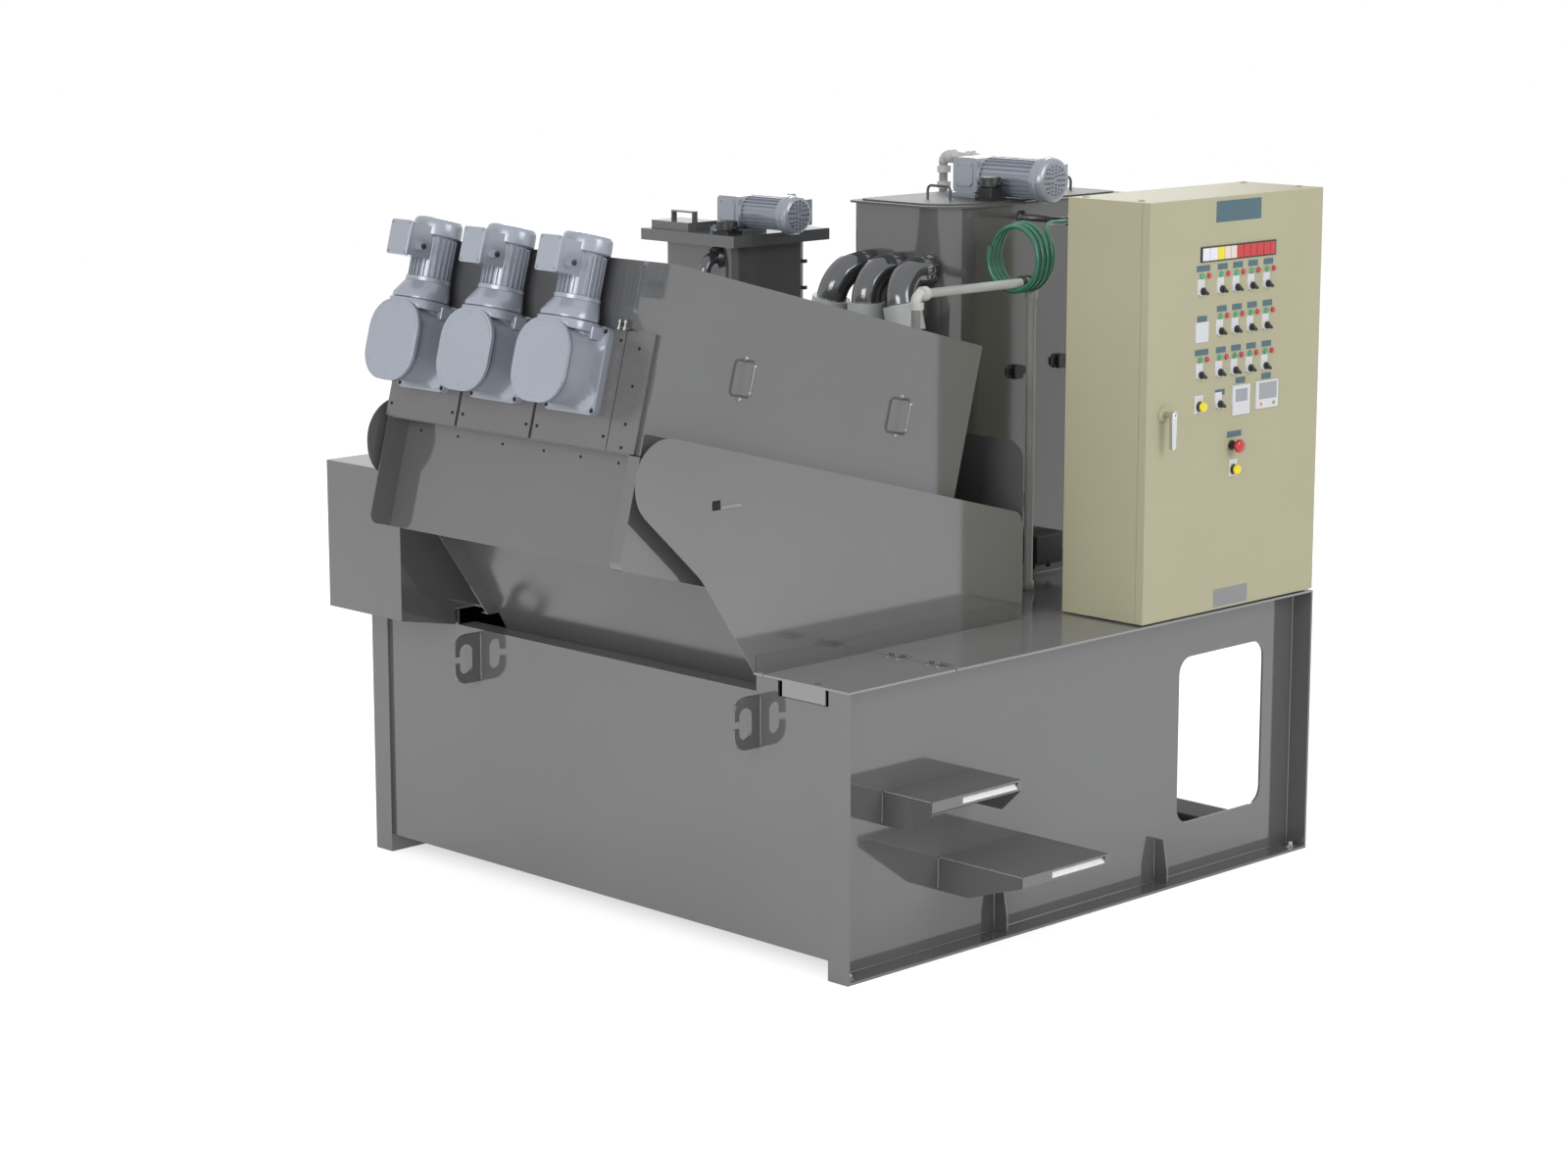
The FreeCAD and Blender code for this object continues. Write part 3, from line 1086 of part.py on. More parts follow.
def small_pipes(block):
    """Rinse pipe to the press roof, vent pipe and mixing tank outlet."""
    run = "rinse_foot_y - rinse_bend"
    end = "rinse_end_y"
    pieces = [
        rod("rinse_up", "z", "rinse_x", "rinse_foot_y", "base_height", "rinse_radius",
            "rinse_high - rinse_bend - base_height"),
        rod("rinse_socket_up", "z", "rinse_x", "rinse_foot_y", "rinse_high - rinse_bend - 24",
            "rinse_socket", "24"),
        elbow("rinse_turn_up", "rinse_radius + 2", "rinse_bend", "rinse_x", run,
              "rinse_high - rinse_bend", REAR, UP),
        rod("rinse_run", "y", "rinse_x", end + " + rinse_bend", "rinse_high", "rinse_radius",
            "%s - (%s) - rinse_bend" % (run, end)),
        rod("rinse_socket_run", "y", "rinse_x", end + " + rinse_bend", "rinse_high", "rinse_socket", "24"),
        elbow("rinse_turn_down", "rinse_radius + 2", "rinse_bend", "rinse_x", end + " + rinse_bend",
              "rinse_high - rinse_bend", -REAR, UP),
        rod("rinse_down", "z", "rinse_x", end, "rinse_high - 200", "rinse_radius", "200 - rinse_bend"),
        rod("rinse_foot", "z", "rinse_x", "rinse_foot_y", "base_height", "rinse_socket", "30"),
    ]
    node("rinse_pipe", cut("rinse_cut", fuse("rinse_parts", pieces), block))
    x0 = "big_tank_left - vent_gap"
    level = "roof_top + vent_rise"
    vent = [
        rod("vent_up", "z", x0, "vent_y", "base_height", "rinse_radius", level + " - rinse_bend - base_height"),
        elbow("vent_turn_a", "rinse_radius + 2", "rinse_bend", x0 + " + rinse_bend", "vent_y",
              level + " - rinse_bend", -RIGHT, UP),
        rod("vent_level", "x", x0 + " + rinse_bend", "vent_y", level, "rinse_radius",
            "vent_run - 2 * rinse_bend"),
        elbow("vent_turn_b", "rinse_radius + 2", "rinse_bend", x0 + " + vent_run - rinse_bend", "vent_y",
              level + " - rinse_bend", RIGHT, UP),
        rod("vent_down", "z", x0 + " + vent_run", "vent_y", "roof_deck", "rinse_radius",
            "vent_rise - hatch_plate - rinse_bend"),
        rod("vent_socket", "z", x0 + " + vent_run", "vent_y", "roof_deck", "rinse_socket", "22"),
    ]
    node("polymer_pipe", fuse("vent_parts", vent))
    gone = "small_tank_front - 12 - drain_bend"
    drain = [
        rod("drain_flange", "y", "drain_x", "small_tank_front - 12", "drain_high", "drain_flange", "12"),
        elbow("drain_turn", "drain_radius", "drain_bend", "drain_x", "small_tank_front - 12",
              "drain_high - drain_bend", UP, -REAR),
        rod("drain_down", "z", "drain_x", gone, "base_height", "drain_radius",
            "drain_high - drain_bend - base_height"),
    ]
    node("mixing_outlet_pipe", fuse("drain_parts", drain))


def hose():
    """Coiled hose on the rinse pipe, its lead and the tap that feeds it."""
    outer = rod("coil_outer", "y", "rinse_x", "coil_y - coil_length / 2", "coil_high",
                "coil_radius + hose_radius", "coil_length")
    inner = rod("coil_inner", "y", "rinse_x", "coil_y - coil_length", "coil_high",
                "coil_radius - hose_radius", "2 * coil_length")
    node("hose_coil", cut("coil", outer, inner))
    x, z, side = "lead_x", "lead_z", "big_tank_right"
    node("hose_lead", rod("lead", "y", x, "coil_y + coil_length / 2", z, "hose_radius",
                          "tap_y - tap_radius * 2 - coil_y - coil_length / 2"))
    pieces = [rod("tap_stub", "x", side, "tap_y", z, "tap_radius", "%s - (%s) - 14" % (x, side)),
              rod("tap_body", "x", x + " - 16", "tap_y", z, "tap_radius + 4", "32"),
              rod("tap_nose", "y", x, "tap_y - tap_radius * 2", z, "tap_radius", "tap_radius * 2"),
              rod("tap_stem", "z", x, "tap_y", z, "5", "38"),
              box("tap_lever", x + " - 6", "tap_y - 8", z + " + 34", "12", "62", "5"),
              rod("tap_flange", "x", side, "tap_y", z, "tap_radius * 2", "6")]
    node("hose_tap", fuse("tap", pieces))


def knuckle(name, x, y, z, radius, length, pin, leaf):
    """A hinge knuckle standing at z with its leaf, bored for a pin if pin is set."""
    solid = fuse(name + "_solid", [rod(name + "_barrel", "z", x, y, z, radius, length)] + leaf)
    if not pin:
        return solid
    return cut(name, solid, rod(name + "_bore", "z", x, y, z + " - 5", pin, length + " + 10"))


def cabinet():
    """Control cabinet shell with mounting plate, its door and the hinges."""
    shell = box("cab_outer", "cab_back", "cab_near", "cab_low", "cab_depth", "cab_width", "cab_height")
    room = box("cab_room", "cab_back + cab_sheet", "cab_near + cab_sheet", "cab_low + cab_sheet",
               "cab_depth", "cab_width - 2 * cab_sheet", "cab_height - 2 * cab_sheet")
    pieces = [cut("cab_shell", shell, room)]
    for n in range(4):
        y = "cab_near + 20 + %d * (cab_width - 100)" % (n % 2)
        x = "cab_back + 15 + %d * (cab_depth - 90)" % (n // 2)
        pieces.append(box("cab_pad_%d" % n, x, y, "base_height", "60", "60", "cab_feet"))
        pieces.append(rod("cab_stud_%d" % n, "x", "cab_back", "cab_near + 80 + %d * (cab_width - 160)"
                          % (n % 2), "cab_low + 90 + %d * (cab_height - 180)" % (n // 2), "6", "26"))
    pieces.append(box("cab_plate", "cab_back + 25", "cab_near + 50", "cab_low + 60", "cab_sheet",
                      "cab_width - 100", "cab_height - 120"))
    door = [cut("door_tray",
                box("door_outer", "cab_front + cab_gap", "cab_near", "cab_low", "cab_door - cab_gap",
                    "cab_width", "cab_height"),
                box("door_room", "cab_front", "cab_near + cab_sheet", "cab_low + cab_sheet",
                    "cab_door - cab_sheet", "cab_width - 2 * cab_sheet", "cab_height - 2 * cab_sheet"))]
    for n in range(2):
        z = "cab_low + hinge_from_end + %d * (cab_height - 2 * hinge_from_end - 2 * hinge_knuckle)" % n
        up = z + " + hinge_knuckle"
        pieces.append(rod("hinge_pin_%d" % n, "z", "cab_front", "hinge_y", z, "hinge_pin",
                          "2 * hinge_knuckle"))
        pieces.append(knuckle("hinge_low_%d" % n, "cab_front", "hinge_y", z, "hinge_radius",
                              "hinge_knuckle - 0.5", None,
                              [box("hinge_strap_%d" % n, "cab_front - 22", "cab_rear - 1", z, "22",
                                   "5", "hinge_knuckle - 0.5")]))
        door.append(knuckle("hinge_up_%d" % n, "cab_front", "hinge_y", up, "hinge_radius",
                            "hinge_knuckle", "hinge_pin + hinge_play",
                            [box("hinge_tab_%d" % n, "cab_front + cab_gap", "cab_rear - 1", up, "18",
                                 "5", "hinge_knuckle")]))
    pivot_y = "cab_near + lock_from_edge"
    face = "half_width - cab_inset"
    door.append(rod("lock_rose", "x", face, pivot_y, "lock_z", "rose_radius", "rose_thick"))
    node("cabinet_body", fuse("cabinet_parts", pieces))
    node("cabinet_door", fuse("cabinet_door_parts", door))
    neck = rod("handle_neck", "x", face + " + rose_thick", pivot_y, "lock_z", "neck_radius",
               "neck_length + lever_thick / 2")
    lever = profile("handle_lever", "YZ", [
        (pivot_y + " - lever_head", "lock_z + lever_head", "lever_head - 1"),
        (pivot_y + " + lever_head", "lock_z + lever_head", "lever_head - 1"),
        (pivot_y + " + lever_tip", "lock_z - lever_length", "lever_tip - 1"),
        (pivot_y + " - lever_tip", "lock_z - lever_length", "lever_tip - 1")],
        face + " + rose_thick + neck_length", "lever_thick")
    node("door_handle", fuse("handle_parts", [neck, lever]))


def inspection_lid():
    """Flush lid with a folded front lip, hinged along its rear edge."""
    right = "half_width"
    plate = profile("lid_plate", "XY", rectangle("lid_left", "-half_depth", right + " - lid_left",
                                                 "lid_back - lid_clear + half_depth"),
                    "top_low", "top_thick",
                    [("circle", "lip_left + lip_width * 0.7", "-half_depth + 22", "12")])
    lip = box("lid_lip", "lip_left", "-half_depth", "top_low - lip_drop", "lip_width", "4", "lip_drop")
    pieces = [plate, lip]
    fixed = []
    for n in range(2):
        x = "butt_first + %d * butt_pitch" % n
        third = "butt_width / 3"
        leaf = [box("lid_leaf_%d" % n, x, "lid_back - butt_radius - butt_leaf", "base_height",
                    "butt_width", "butt_leaf", "butt_sheet"),
                box("lid_neck_%d" % n, x + " + %s + 0.5" % third, "lid_back - butt_radius - 1",
                    "base_height", third + " - 1", "butt_radius + 1", "butt_sheet"),
                rod("lid_barrel_%d" % n, "x", x + " + %s + 0.5" % third, "lid_back", "butt_high",
                    "butt_radius", third + " - 1")]
        bore = rod("lid_bore_%d" % n, "x", x, "lid_back", "butt_high", "butt_pin + hinge_play",
                   "butt_width")
        pieces.append(cut("lid_hinge_%d" % n, fuse("lid_hinge_solid_%d" % n, leaf), bore))
        rear = [rod("butt_pin_%d" % n, "x", x, "lid_back", "butt_high", "butt_pin", "butt_width"),
                box("butt_leaf_%d" % n, x, "lid_back + butt_radius", "base_height", "butt_width",
                    "butt_leaf", "butt_sheet")]
        for k in (0, 2):
            rear.append(rod("butt_barrel_%d%d" % (n, k), "x", x + " + %d * %s" % (k, third),
                            "lid_back", "butt_high", "butt_radius", third))
            rear.append(box("butt_neck_%d%d" % (n, k), x + " + %d * %s" % (k, third), "lid_back",
                            "base_height", third, "butt_radius + 1", "butt_sheet"))
        fixed.append(fuse("butt_%d" % n, rear))
    node("inspection_lid", fuse("lid_parts", pieces))
    node("lid_hinges", group("butts", fixed))


right_frame = side_frame()
node("left_side_frame", mirror("frame_left", right_frame))
top_plate()
front_plate()
tank_plates()
cross_members()
step("upper_step", "upper_step_front", "upper_step_top", "upper_step_reach")
step("lower_step", "lower_step_front", "lower_step_top", "lower_step_reach")
inspection_lid()
guards()
hook_lugs()
side_box()
casing()
press_front()
screws()
side_covers()
for drive_number in (1, 2, 3):
    gearmotor(drive_number)
mixing_tank()
mixer("mixing", "small_lid_top", "small_gear_x", "small_gear_y", "small_gear_wide", "small_gear_deep",
      "small_gear_tall", "small_motor_radius", "small_motor_body", "small_fan_radius", 90)
flocculation_tank()
mixer("flocculation", "roof_deck", "big_gear_x", "big_gear_y", "big_gear_wide",
      "big_gear_deep", "big_gear_tall", "big_motor_radius", "big_motor_body", "big_fan_radius", 90)
tank_sensors()
press_block = in_press(group("press_block", [
    box("press_space", "press_left - 100", 0, "-press_depth", "press_right - press_left + 200",
        "press_length", "press_depth")]))
sludge_pipes(press_block)
small_pipes(press_block)
hose()
cabinet()

doc.recompute()
for thing in doc.Objects:
    if "Invalid" in thing.State or "Error" in thing.State:
        raise RuntimeError("not built: " + thing.Name)
os.makedirs("parts", exist_ok=True)
for solid in NODES:
    shape = solid.Shape
    if shape.isNull() or not shape.isValid() or shape.Volume <= 0:
        raise RuntimeError("bad shape: " + solid.Label)
    shape.exportStep("parts/%s.step" % solid.Label)
    print(solid.Label, len(shape.Solids), round(shape.Volume / 1000.0, 1))
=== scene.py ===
import math

import bmesh
import bpy
from mathutils import Matrix, Vector


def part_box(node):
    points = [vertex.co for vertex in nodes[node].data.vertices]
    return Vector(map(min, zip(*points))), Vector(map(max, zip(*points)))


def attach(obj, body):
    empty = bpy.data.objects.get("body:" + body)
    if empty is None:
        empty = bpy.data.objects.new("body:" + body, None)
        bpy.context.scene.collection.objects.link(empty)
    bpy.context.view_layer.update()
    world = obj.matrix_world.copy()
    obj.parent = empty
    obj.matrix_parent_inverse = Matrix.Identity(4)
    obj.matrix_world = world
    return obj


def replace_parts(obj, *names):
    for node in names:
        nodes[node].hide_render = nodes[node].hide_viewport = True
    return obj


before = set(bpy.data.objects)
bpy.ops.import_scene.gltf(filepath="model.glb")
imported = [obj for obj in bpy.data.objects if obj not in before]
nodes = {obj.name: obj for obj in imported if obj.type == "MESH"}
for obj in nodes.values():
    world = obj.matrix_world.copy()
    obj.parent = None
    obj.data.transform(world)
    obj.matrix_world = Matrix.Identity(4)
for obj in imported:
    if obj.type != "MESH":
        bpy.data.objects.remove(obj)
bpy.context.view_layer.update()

scene = bpy.context.scene
scene.view_settings.view_transform = "Standard"
MM = 0.001


# Camera: eye height above the tanks, looking along the machine's diagonal through a long lens, so
# that the front with the gearmotors and the right side with the cabinet both show.
AZIMUTH, ELEVATION = math.radians(45.19), math.radians(11.02)
back = Vector((math.sin(AZIMUTH) * math.cos(ELEVATION), -math.cos(AZIMUTH) * math.cos(ELEVATION),
               math.sin(ELEVATION)))
lens = bpy.data.cameras.new("camera")
lens.sensor_width = 36
lens.lens = 81.87
lens.clip_end = 60
camera = bpy.data.objects.new("camera", lens)
camera.location = (7.3355, -7.5323, 2.8518)
camera.rotation_euler = back.to_track_quat("Z", "Y").to_euler()
scene.collection.objects.link(camera)
scene.camera = camera


# Floor and backdrop: a plain pale floor that runs into a white backdrop. Camera, metal and glass
# see both as white, and the machine's soft shadow stays on the floor.
def linear(code):
    """The linear colour of a hex code."""
    parts = [int(code[i:i + 2], 16) / 255 for i in (1, 3, 5)]
    return tuple(p / 12.92 if p <= 0.04045 else ((p + 0.055) / 1.055) ** 2.4 for p in parts) + (1,)


def add(tree, kind, inputs=(), **settings):
    """A node with its settings, and each of its inputs linked or set."""
    made = tree.nodes.new(kind)
    for name, value in settings.items():
        setattr(made, name, value)
    for name, value in dict(inputs).items():
        if isinstance(value, bpy.types.NodeSocket):
            tree.links.new(value, made.inputs[name])
        else:
            made.inputs[name].default_value = value
    return made


def seen_rays(tree):
    """One for camera, glossy and transmission rays, else nought."""
    rays = add(tree, "ShaderNodeLightPath")
    first = add(tree, "ShaderNodeMath", {0: rays.outputs["Is Camera Ray"],
                                         1: rays.outputs["Is Glossy Ray"]}, operation="MAXIMUM")
    both = add(tree, "ShaderNodeMath", {0: first.outputs[0], 1: rays.outputs["Is Transmission Ray"]},
               operation="MAXIMUM")
    return both.outputs[0]


world = bpy.data.worlds.new("studio")
scene.world = world
world.use_nodes = True
tree = world.node_tree
tree.nodes.clear()
soft = add(tree, "ShaderNodeBackground", {"Color": linear("#F4F6FA"), "Strength": 0.62})
white = add(tree, "ShaderNodeBackground", {"Color": (1, 1, 1, 1), "Strength": 1.0})
sky = add(tree, "ShaderNodeMixShader", {0: seen_rays(tree), 1: soft.outputs[0], 2: white.outputs[0]})
add(tree, "ShaderNodeOutputWorld", {"Surface": sky.outputs[0]})

pale_floor = bpy.data.materials.new("pale_floor")
pale_floor.use_nodes = True
tree = pale_floor.node_tree
tree.nodes.clear()
matt = add(tree, "ShaderNodeBsdfDiffuse", {"Color": linear("#EDEDED")})
glow = add(tree, "ShaderNodeEmission", {"Strength": 0.6})
both = add(tree, "ShaderNodeAddShader", {0: matt.outputs[0], 1: glow.outputs[0]})
shown = add(tree, "ShaderNodeMixShader", {0: seen_rays(tree), 1: matt.outputs[0], 2: both.outputs[0]})
add(tree, "ShaderNodeOutputMaterial", {"Surface": shown.outputs[0]})
half = 15
sheet = bpy.data.meshes.new("floor")
sheet.from_pydata([(-half, -half, 0), (half, -half, 0), (half, half, 0), (-half, half, 0)], [],
                  [(0, 1, 2, 3)])
sheet.materials.append(pale_floor)
floor = bpy.data.objects.new("floor", sheet)
scene.collection.objects.link(floor)


# Light: three large soft lamps, the strongest at the front, one above the right side and one
# behind, so that no side is left in the dark.
def lamp(name, spot, aim, size, power):
    """A soft rectangular lamp at a spot, turned towards a point."""
    light = bpy.data.lights.new(name, "AREA")
    light.shape = "RECTANGLE"
    light.size, light.size_y = size
    light.energy = power
    made = bpy.data.objects.new(name, light)
    made.location = spot
    made.rotation_euler = (Vector(spot) - Vector(aim)).to_track_quat("Z", "Y").to_euler()
    scene.collection.objects.link(made)


lamp("key", (7.0, 0.8, 4.0), (0.5, 0, 0.9), (3.5, 3.0), 140)
lamp("front", (2.0, -7.2, 3.4), (0.3, -0.6, 1.1), (4.0, 3.0), 190)
lamp("rear", (-4.5, 5.0, 4.5), (0, 0, 1.2), (3.5, 3.0), 125)


# Base: folded and welded sheets of stainless steel with a pickled mill finish. It looks an even dark
# grey, with a clear faint mirror image of what stands near it and a fine upright grain. The top plate, lid
# and ledge are a lighter grey, painted light for faces that look up, and a little rougher for fine scratches.
def surface(name, code, metallic=0.0, rough=0.4, grain=(60, 60, 60), relief=0.02, drift=0.08,
            spread=0.08, coat=0.0, patch=3.0, gloss=0.5):
    """A finish whose colour drifts in soft clouds and whose roughness and relief follow a grain."""
    made = bpy.data.materials.new(name)
    made.use_nodes = True
    tree = made.node_tree
    shader = tree.nodes["Principled BSDF"]
    place = add(tree, "ShaderNodeTexCoord").outputs["Object"]
    stretched = add(tree, "ShaderNodeMapping", {"Vector": place, "Scale": grain}).outputs["Vector"]
    clouds = add(tree, "ShaderNodeTexNoise", {"Vector": place, "Scale": patch, "Detail": 3}).outputs["Fac"]
    fine = add(tree, "ShaderNodeTexNoise", {"Vector": stretched, "Scale": 1, "Detail": 4}).outputs["Fac"]
    share = add(tree, "ShaderNodeMapRange", {"Value": clouds, "From Min": 0.3, "From Max": 0.7})
    colour = linear(code)[:3]
    mix = add(tree, "ShaderNodeMix", {"Factor": share.outputs["Result"],
                                      "A": tuple(c * (1 - drift) for c in colour) + (1,),
                                      "B": tuple(min(c * (1 + drift), 1) for c in colour) + (1,)},
              data_type="RGBA")
    dull = add(tree, "ShaderNodeMapRange", {"Value": fine, "From Min": 0.3, "From Max": 0.7,
                                            "To Min": max(rough - spread, 0.02), "To Max": rough + spread})
    bump = add(tree, "ShaderNodeBump", {"Strength": relief, "Distance": 0.002, "Height": fine})
    tree.links.new(mix.outputs["Result"], shader.inputs["Base Color"])
    tree.links.new(dull.outputs["Result"], shader.inputs["Roughness"])
    tree.links.new(bump.outputs["Normal"], shader.inputs["Normal"])
    shader.inputs["Metallic"].default_value = metallic
    shader.inputs["Specular IOR Level"].default_value = gloss
    shader.inputs["Coat Weight"].default_value = coat
    shader.inputs["Coat Roughness"].default_value = 0.12
    return made


def dress(material, *names):
    """Gives carried-over nodes their finish."""
    for name in names:
        mesh = nodes[name].data
        mesh.materials.clear()
        mesh.materials.append(material)


def piece(name, bm, material, body, smooth=40):
    """A closed mesh from a bmesh, riding on a body, with one finish."""
    bmesh.ops.recalc_face_normals(bm, faces=bm.faces)
    mesh = bpy.data.meshes.new(name)
    bm.to_mesh(mesh)
    bm.free()
    made = bpy.data.objects.new(name, mesh)
    scene.collection.objects.link(made)
    mesh.materials.append(material)
    for face in mesh.polygons:
        face.use_smooth = smooth > 0
    if smooth:
        mesh.set_sharp_from_angle(angle=math.radians(smooth))
    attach(made, body)
    return made


def bead(bm, start, end, width=5):
    """A weld: a thin rope of overlapping scales from one point to another, in mm."""
    start, end = Vector(start), Vector(end)
    count = max(int((end - start).length / (width * 1.6)), 2)
    across = (end - start).normalized()
    side = across.orthogonal().normalized()
    up = across.cross(side)
    rings = []
    for k in range(count + 1):
        centre = start + (end - start) * k / count
        reach = width / 2 * (0.5 if k in (0, count) else (1.0 if k % 2 else 0.86))
        rings.append([bm.verts.new((centre + reach * (math.cos(a) * side + math.sin(a) * up)) * MM)
                      for a in (2 * math.pi * n / 6 for n in range(6))])
    for low, high in zip(rings, rings[1:]):
        for n in range(6):
            bm.faces.new((low[n], low[(n + 1) % 6], high[(n + 1) % 6], high[n]))
    bm.faces.new(list(reversed(rings[0])))
    bm.faces.new(rings[-1])


sheet_steel = surface("sheet_steel", "#747474", 0.36, 0.07, (260, 260, 18), 0.006, 0.03, 0.02, patch=1.6)
weld_steel = surface("weld_steel", "#8A8A8A", 0.8, 0.3, (400, 400, 400), 0.05, 0.1, 0.08)
dress(sheet_steel, "right_side_frame", "left_side_frame", "front_plate", "tank_floor",
      "tank_back_plate", "rear_cross_members", "upper_step", "lower_step", "lid_hinges", "guard_rails",
      "hook_lugs", "side_box", "side_box_cover", "press_casing", "press_roof", "front_frame",
      "discharge_hood", "discharge_bulkhead", "screw_drums", "right_side_cover", "lower_side_channel")
# Painted light: a lighter grey than the sheet steel on the top plate, lid and ledge, for the faces that look
# up.
worn_steel = surface("worn_steel", "#909090", 0.25, 0.12, (260, 260, 260), 0.008, 0.04, 0.03, patch=2.2)
dress(worn_steel, "top_plate", "inspection_lid", "front_ledge")
WEB, FLANGE, END = 932, 978, 990
bm = bmesh.new()
for side in (-1, 1):
    for y in (-344, -338, 357, 363):
        bead(bm, (side * WEB, y, 10), (side * WEB, y, 136), 4)
        bead(bm, (side * (WEB + 2), y, 8), (side * FLANGE, y, 8), 4)
    bead(bm, (side * WEB, -END, 8), (side * WEB, END, 8), 5)
    for y in (-END - 2, END + 2):
        bead(bm, (side * WEB, y, 12), (side * WEB, y, 790), 4)
for x in (-514, -505, 651, 660):
    bead(bm, (x, -END, 598), (x, -END, 738), 4)
bead(bm, (-460, -925, 750), (644, -925, 750), 4)
bead(bm, (-462, 80, 800), (647, 80, 800), 4)
piece("base_welds", bm, weld_steel, "machine", 60)


# Steps: one folded sheet each, welded to the right web. A steep lip in the slot of the nose and the
# near edge of each tread are painted near white, a painted highlight where they catch the light.
def wedge(bm, x, y, z, reach, length, rise, thick):
    """A thin inclined plate along Y, its lower edge at x and its upper edge reach further in, in mm."""
    section = ((x, z), (x, z + thick), (x - reach, z + rise + thick), (x - reach, z + rise))
    ends = [[bm.verts.new(Vector((px, py, pz)) * MM) for px, pz in section] for py in (y, y + length)]
    for k in range(4):
        bm.faces.new((ends[0][k], ends[0][(k + 1) % 4], ends[1][(k + 1) % 4], ends[1][k]))
    bm.faces.new(ends[0])
    bm.faces.new(list(reversed(ends[1])))


# Painted highlight: near white steel on the step lips and tread edges.
bright_steel = surface("bright_steel", "#E9E9E9", 0.6, 0.3, (300, 20, 300), 0.03, 0.04, 0.06)
STEPS, TREAD = ((-800, 489, 1115), (-576, 263, 1240)), 357
bm, lips = bmesh.new(), bmesh.new()
for front, top, nose in STEPS:
    for y in (front, front + TREAD):
        bead(bm, (WEB, y, top - 92), (WEB, y, top - 3), 4)
    bead(lips, (WEB + 3, front + 0.8, top - 0.8), (nose - 2, front + 0.8, top - 0.8), 2.4)
    wedge(lips, nose - 1, front + 122, top - 24.5, 10, 220, 17, 2)
piece("step_welds", bm, weld_steel, "machine", 60)
piece("step_lips", lips, bright_steel, "machine", 0)


# Screws and other round heads: zinc plated steel, a washer and a head with a crown on each. They
# stand on a point for each place, which carries the way out of the surface.
def head_tree():
    """The Geometry Nodes tree that puts a head on every point, and its inputs by name."""
    tree = bpy.data.node_groups.new("round_heads", "GeometryNodeTree")
    inputs = {}
    for label, kind in (("Geometry", "Geometry"), ("Head Radius", "Float"), ("Head Height", "Float"),
                        ("Washer Radius", "Float"), ("Washer Height", "Float"), ("Sides", "Int"),
                        ("Material", "Material")):
        inputs[label] = tree.interface.new_socket(label, in_out="INPUT", socket_type="NodeSocket" + kind)
    tree.interface.new_socket("Geometry", in_out="OUTPUT", socket_type="NodeSocketGeometry")
    given = add(tree, "NodeGroupInput").outputs
    crown = add(tree, "ShaderNodeMath", {0: given["Head Radius"], 1: 0.84}, operation="MULTIPLY")
    tall = add(tree, "ShaderNodeMath", {0: given["Head Height"], 1: 1.12}, operation="MULTIPLY")
    join = add(tree, "GeometryNodeJoinGeometry")
    for radius, height, sides in ((given["Washer Radius"], given["Washer Height"], 20),
                                  (given["Head Radius"], given["Head Height"], given["Sides"]),
                                  (crown.outputs[0], tall.outputs[0], given["Sides"])):
        lift = add(tree, "ShaderNodeMath", {0: height, 1: 0.5}, operation="MULTIPLY")
        up = add(tree, "ShaderNodeCombineXYZ", {"Z": lift.outputs[0]})
        disc = add(tree, "GeometryNodeMeshCylinder", {"Vertices": sides, "Radius": radius, "Depth": height})
        moved = add(tree, "GeometryNodeTransform", {"Geometry": disc.outputs["Mesh"],
                                                    "Translation": up.outputs[0]})
        tree.links.new(moved.outputs["Geometry"], join.inputs["Geometry"])
    way = add(tree, "GeometryNodeInputNamedAttribute", {"Name": "way"}, data_type="FLOAT_VECTOR")
    turned = add(tree, "FunctionNodeAlignRotationToVector", {"Vector": way.outputs["Attribute"]}, axis="Z")
    placed = add(tree, "GeometryNodeInstanceOnPoints",
                 {"Points": given["Geometry"], "Instance": join.outputs["Geometry"],
                  "Rotation": turned.outputs["Rotation"]})
    real = add(tree, "GeometryNodeRealizeInstances", {"Geometry": placed.outputs["Instances"]})
    coated = add(tree, "GeometryNodeSetMaterial", {"Geometry": real.outputs["Geometry"],
                                                   "Material": given["Material"]})
    add(tree, "NodeGroupOutput", {"Geometry": coated.outputs["Geometry"]})
    return tree, inputs


HEADS, HEAD_INPUTS = head_tree()


def heads(name, seats, radius, height, material, body, sides=6, washer=1.25, thin=0.15):
    """Like heads at the seats, which are frames with Z out of the surface; sizes in mm."""
    cloud = bpy.data.meshes.new(name)
    cloud.from_pydata([tuple(seat.translation) for seat in seats], [], [])
    ways = cloud.attributes.new("way", "FLOAT_VECTOR", "POINT")
    ways.data.foreach_set("vector", [c for seat in seats for c in seat.col[2][:3]])
    made = bpy.data.objects.new(name, cloud)
    scene.collection.objects.link(made)
    modifier = made.modifiers.new("heads", "NODES")
    modifier.node_group = HEADS
    for label, value in (("Head Radius", radius * MM), ("Head Height", height * MM),
                         ("Washer Radius", radius * washer * MM), ("Washer Height", height * thin * MM),
                         ("Sides", sides), ("Material", material)):
        modifier[HEAD_INPUTS[label].identifier] = value
    bpy.context.view_layer.update()
    mesh = bpy.data.meshes.new_from_object(made.evaluated_get(bpy.context.evaluated_depsgraph_get()))
    made.modifiers.clear()
    made.data = mesh
    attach(made, body)
    return made


def seat_at(origin, across, out):
    """A frame at a point in mm, its X axis across and its Z axis out of the surface."""
    z = Vector(out).normalized()
    x = Vector(across).normalized()
    rotation = Matrix((x, z.cross(x), z)).transposed().to_4x4()
    return Matrix.Translation(Vector(origin) * MM) @ rotation


def facing_up(x, y, z):
    """A seat on a level face, with X to the machine's right."""
    return seat_at((x, y, z), (1, 0, 0), (0, 0, 1))


def facing_right(x, y, z):
    """A seat on a face that looks right, with X to the rear."""
    return seat_at((x, y, z), (0, 1, 0), (1, 0, 0))


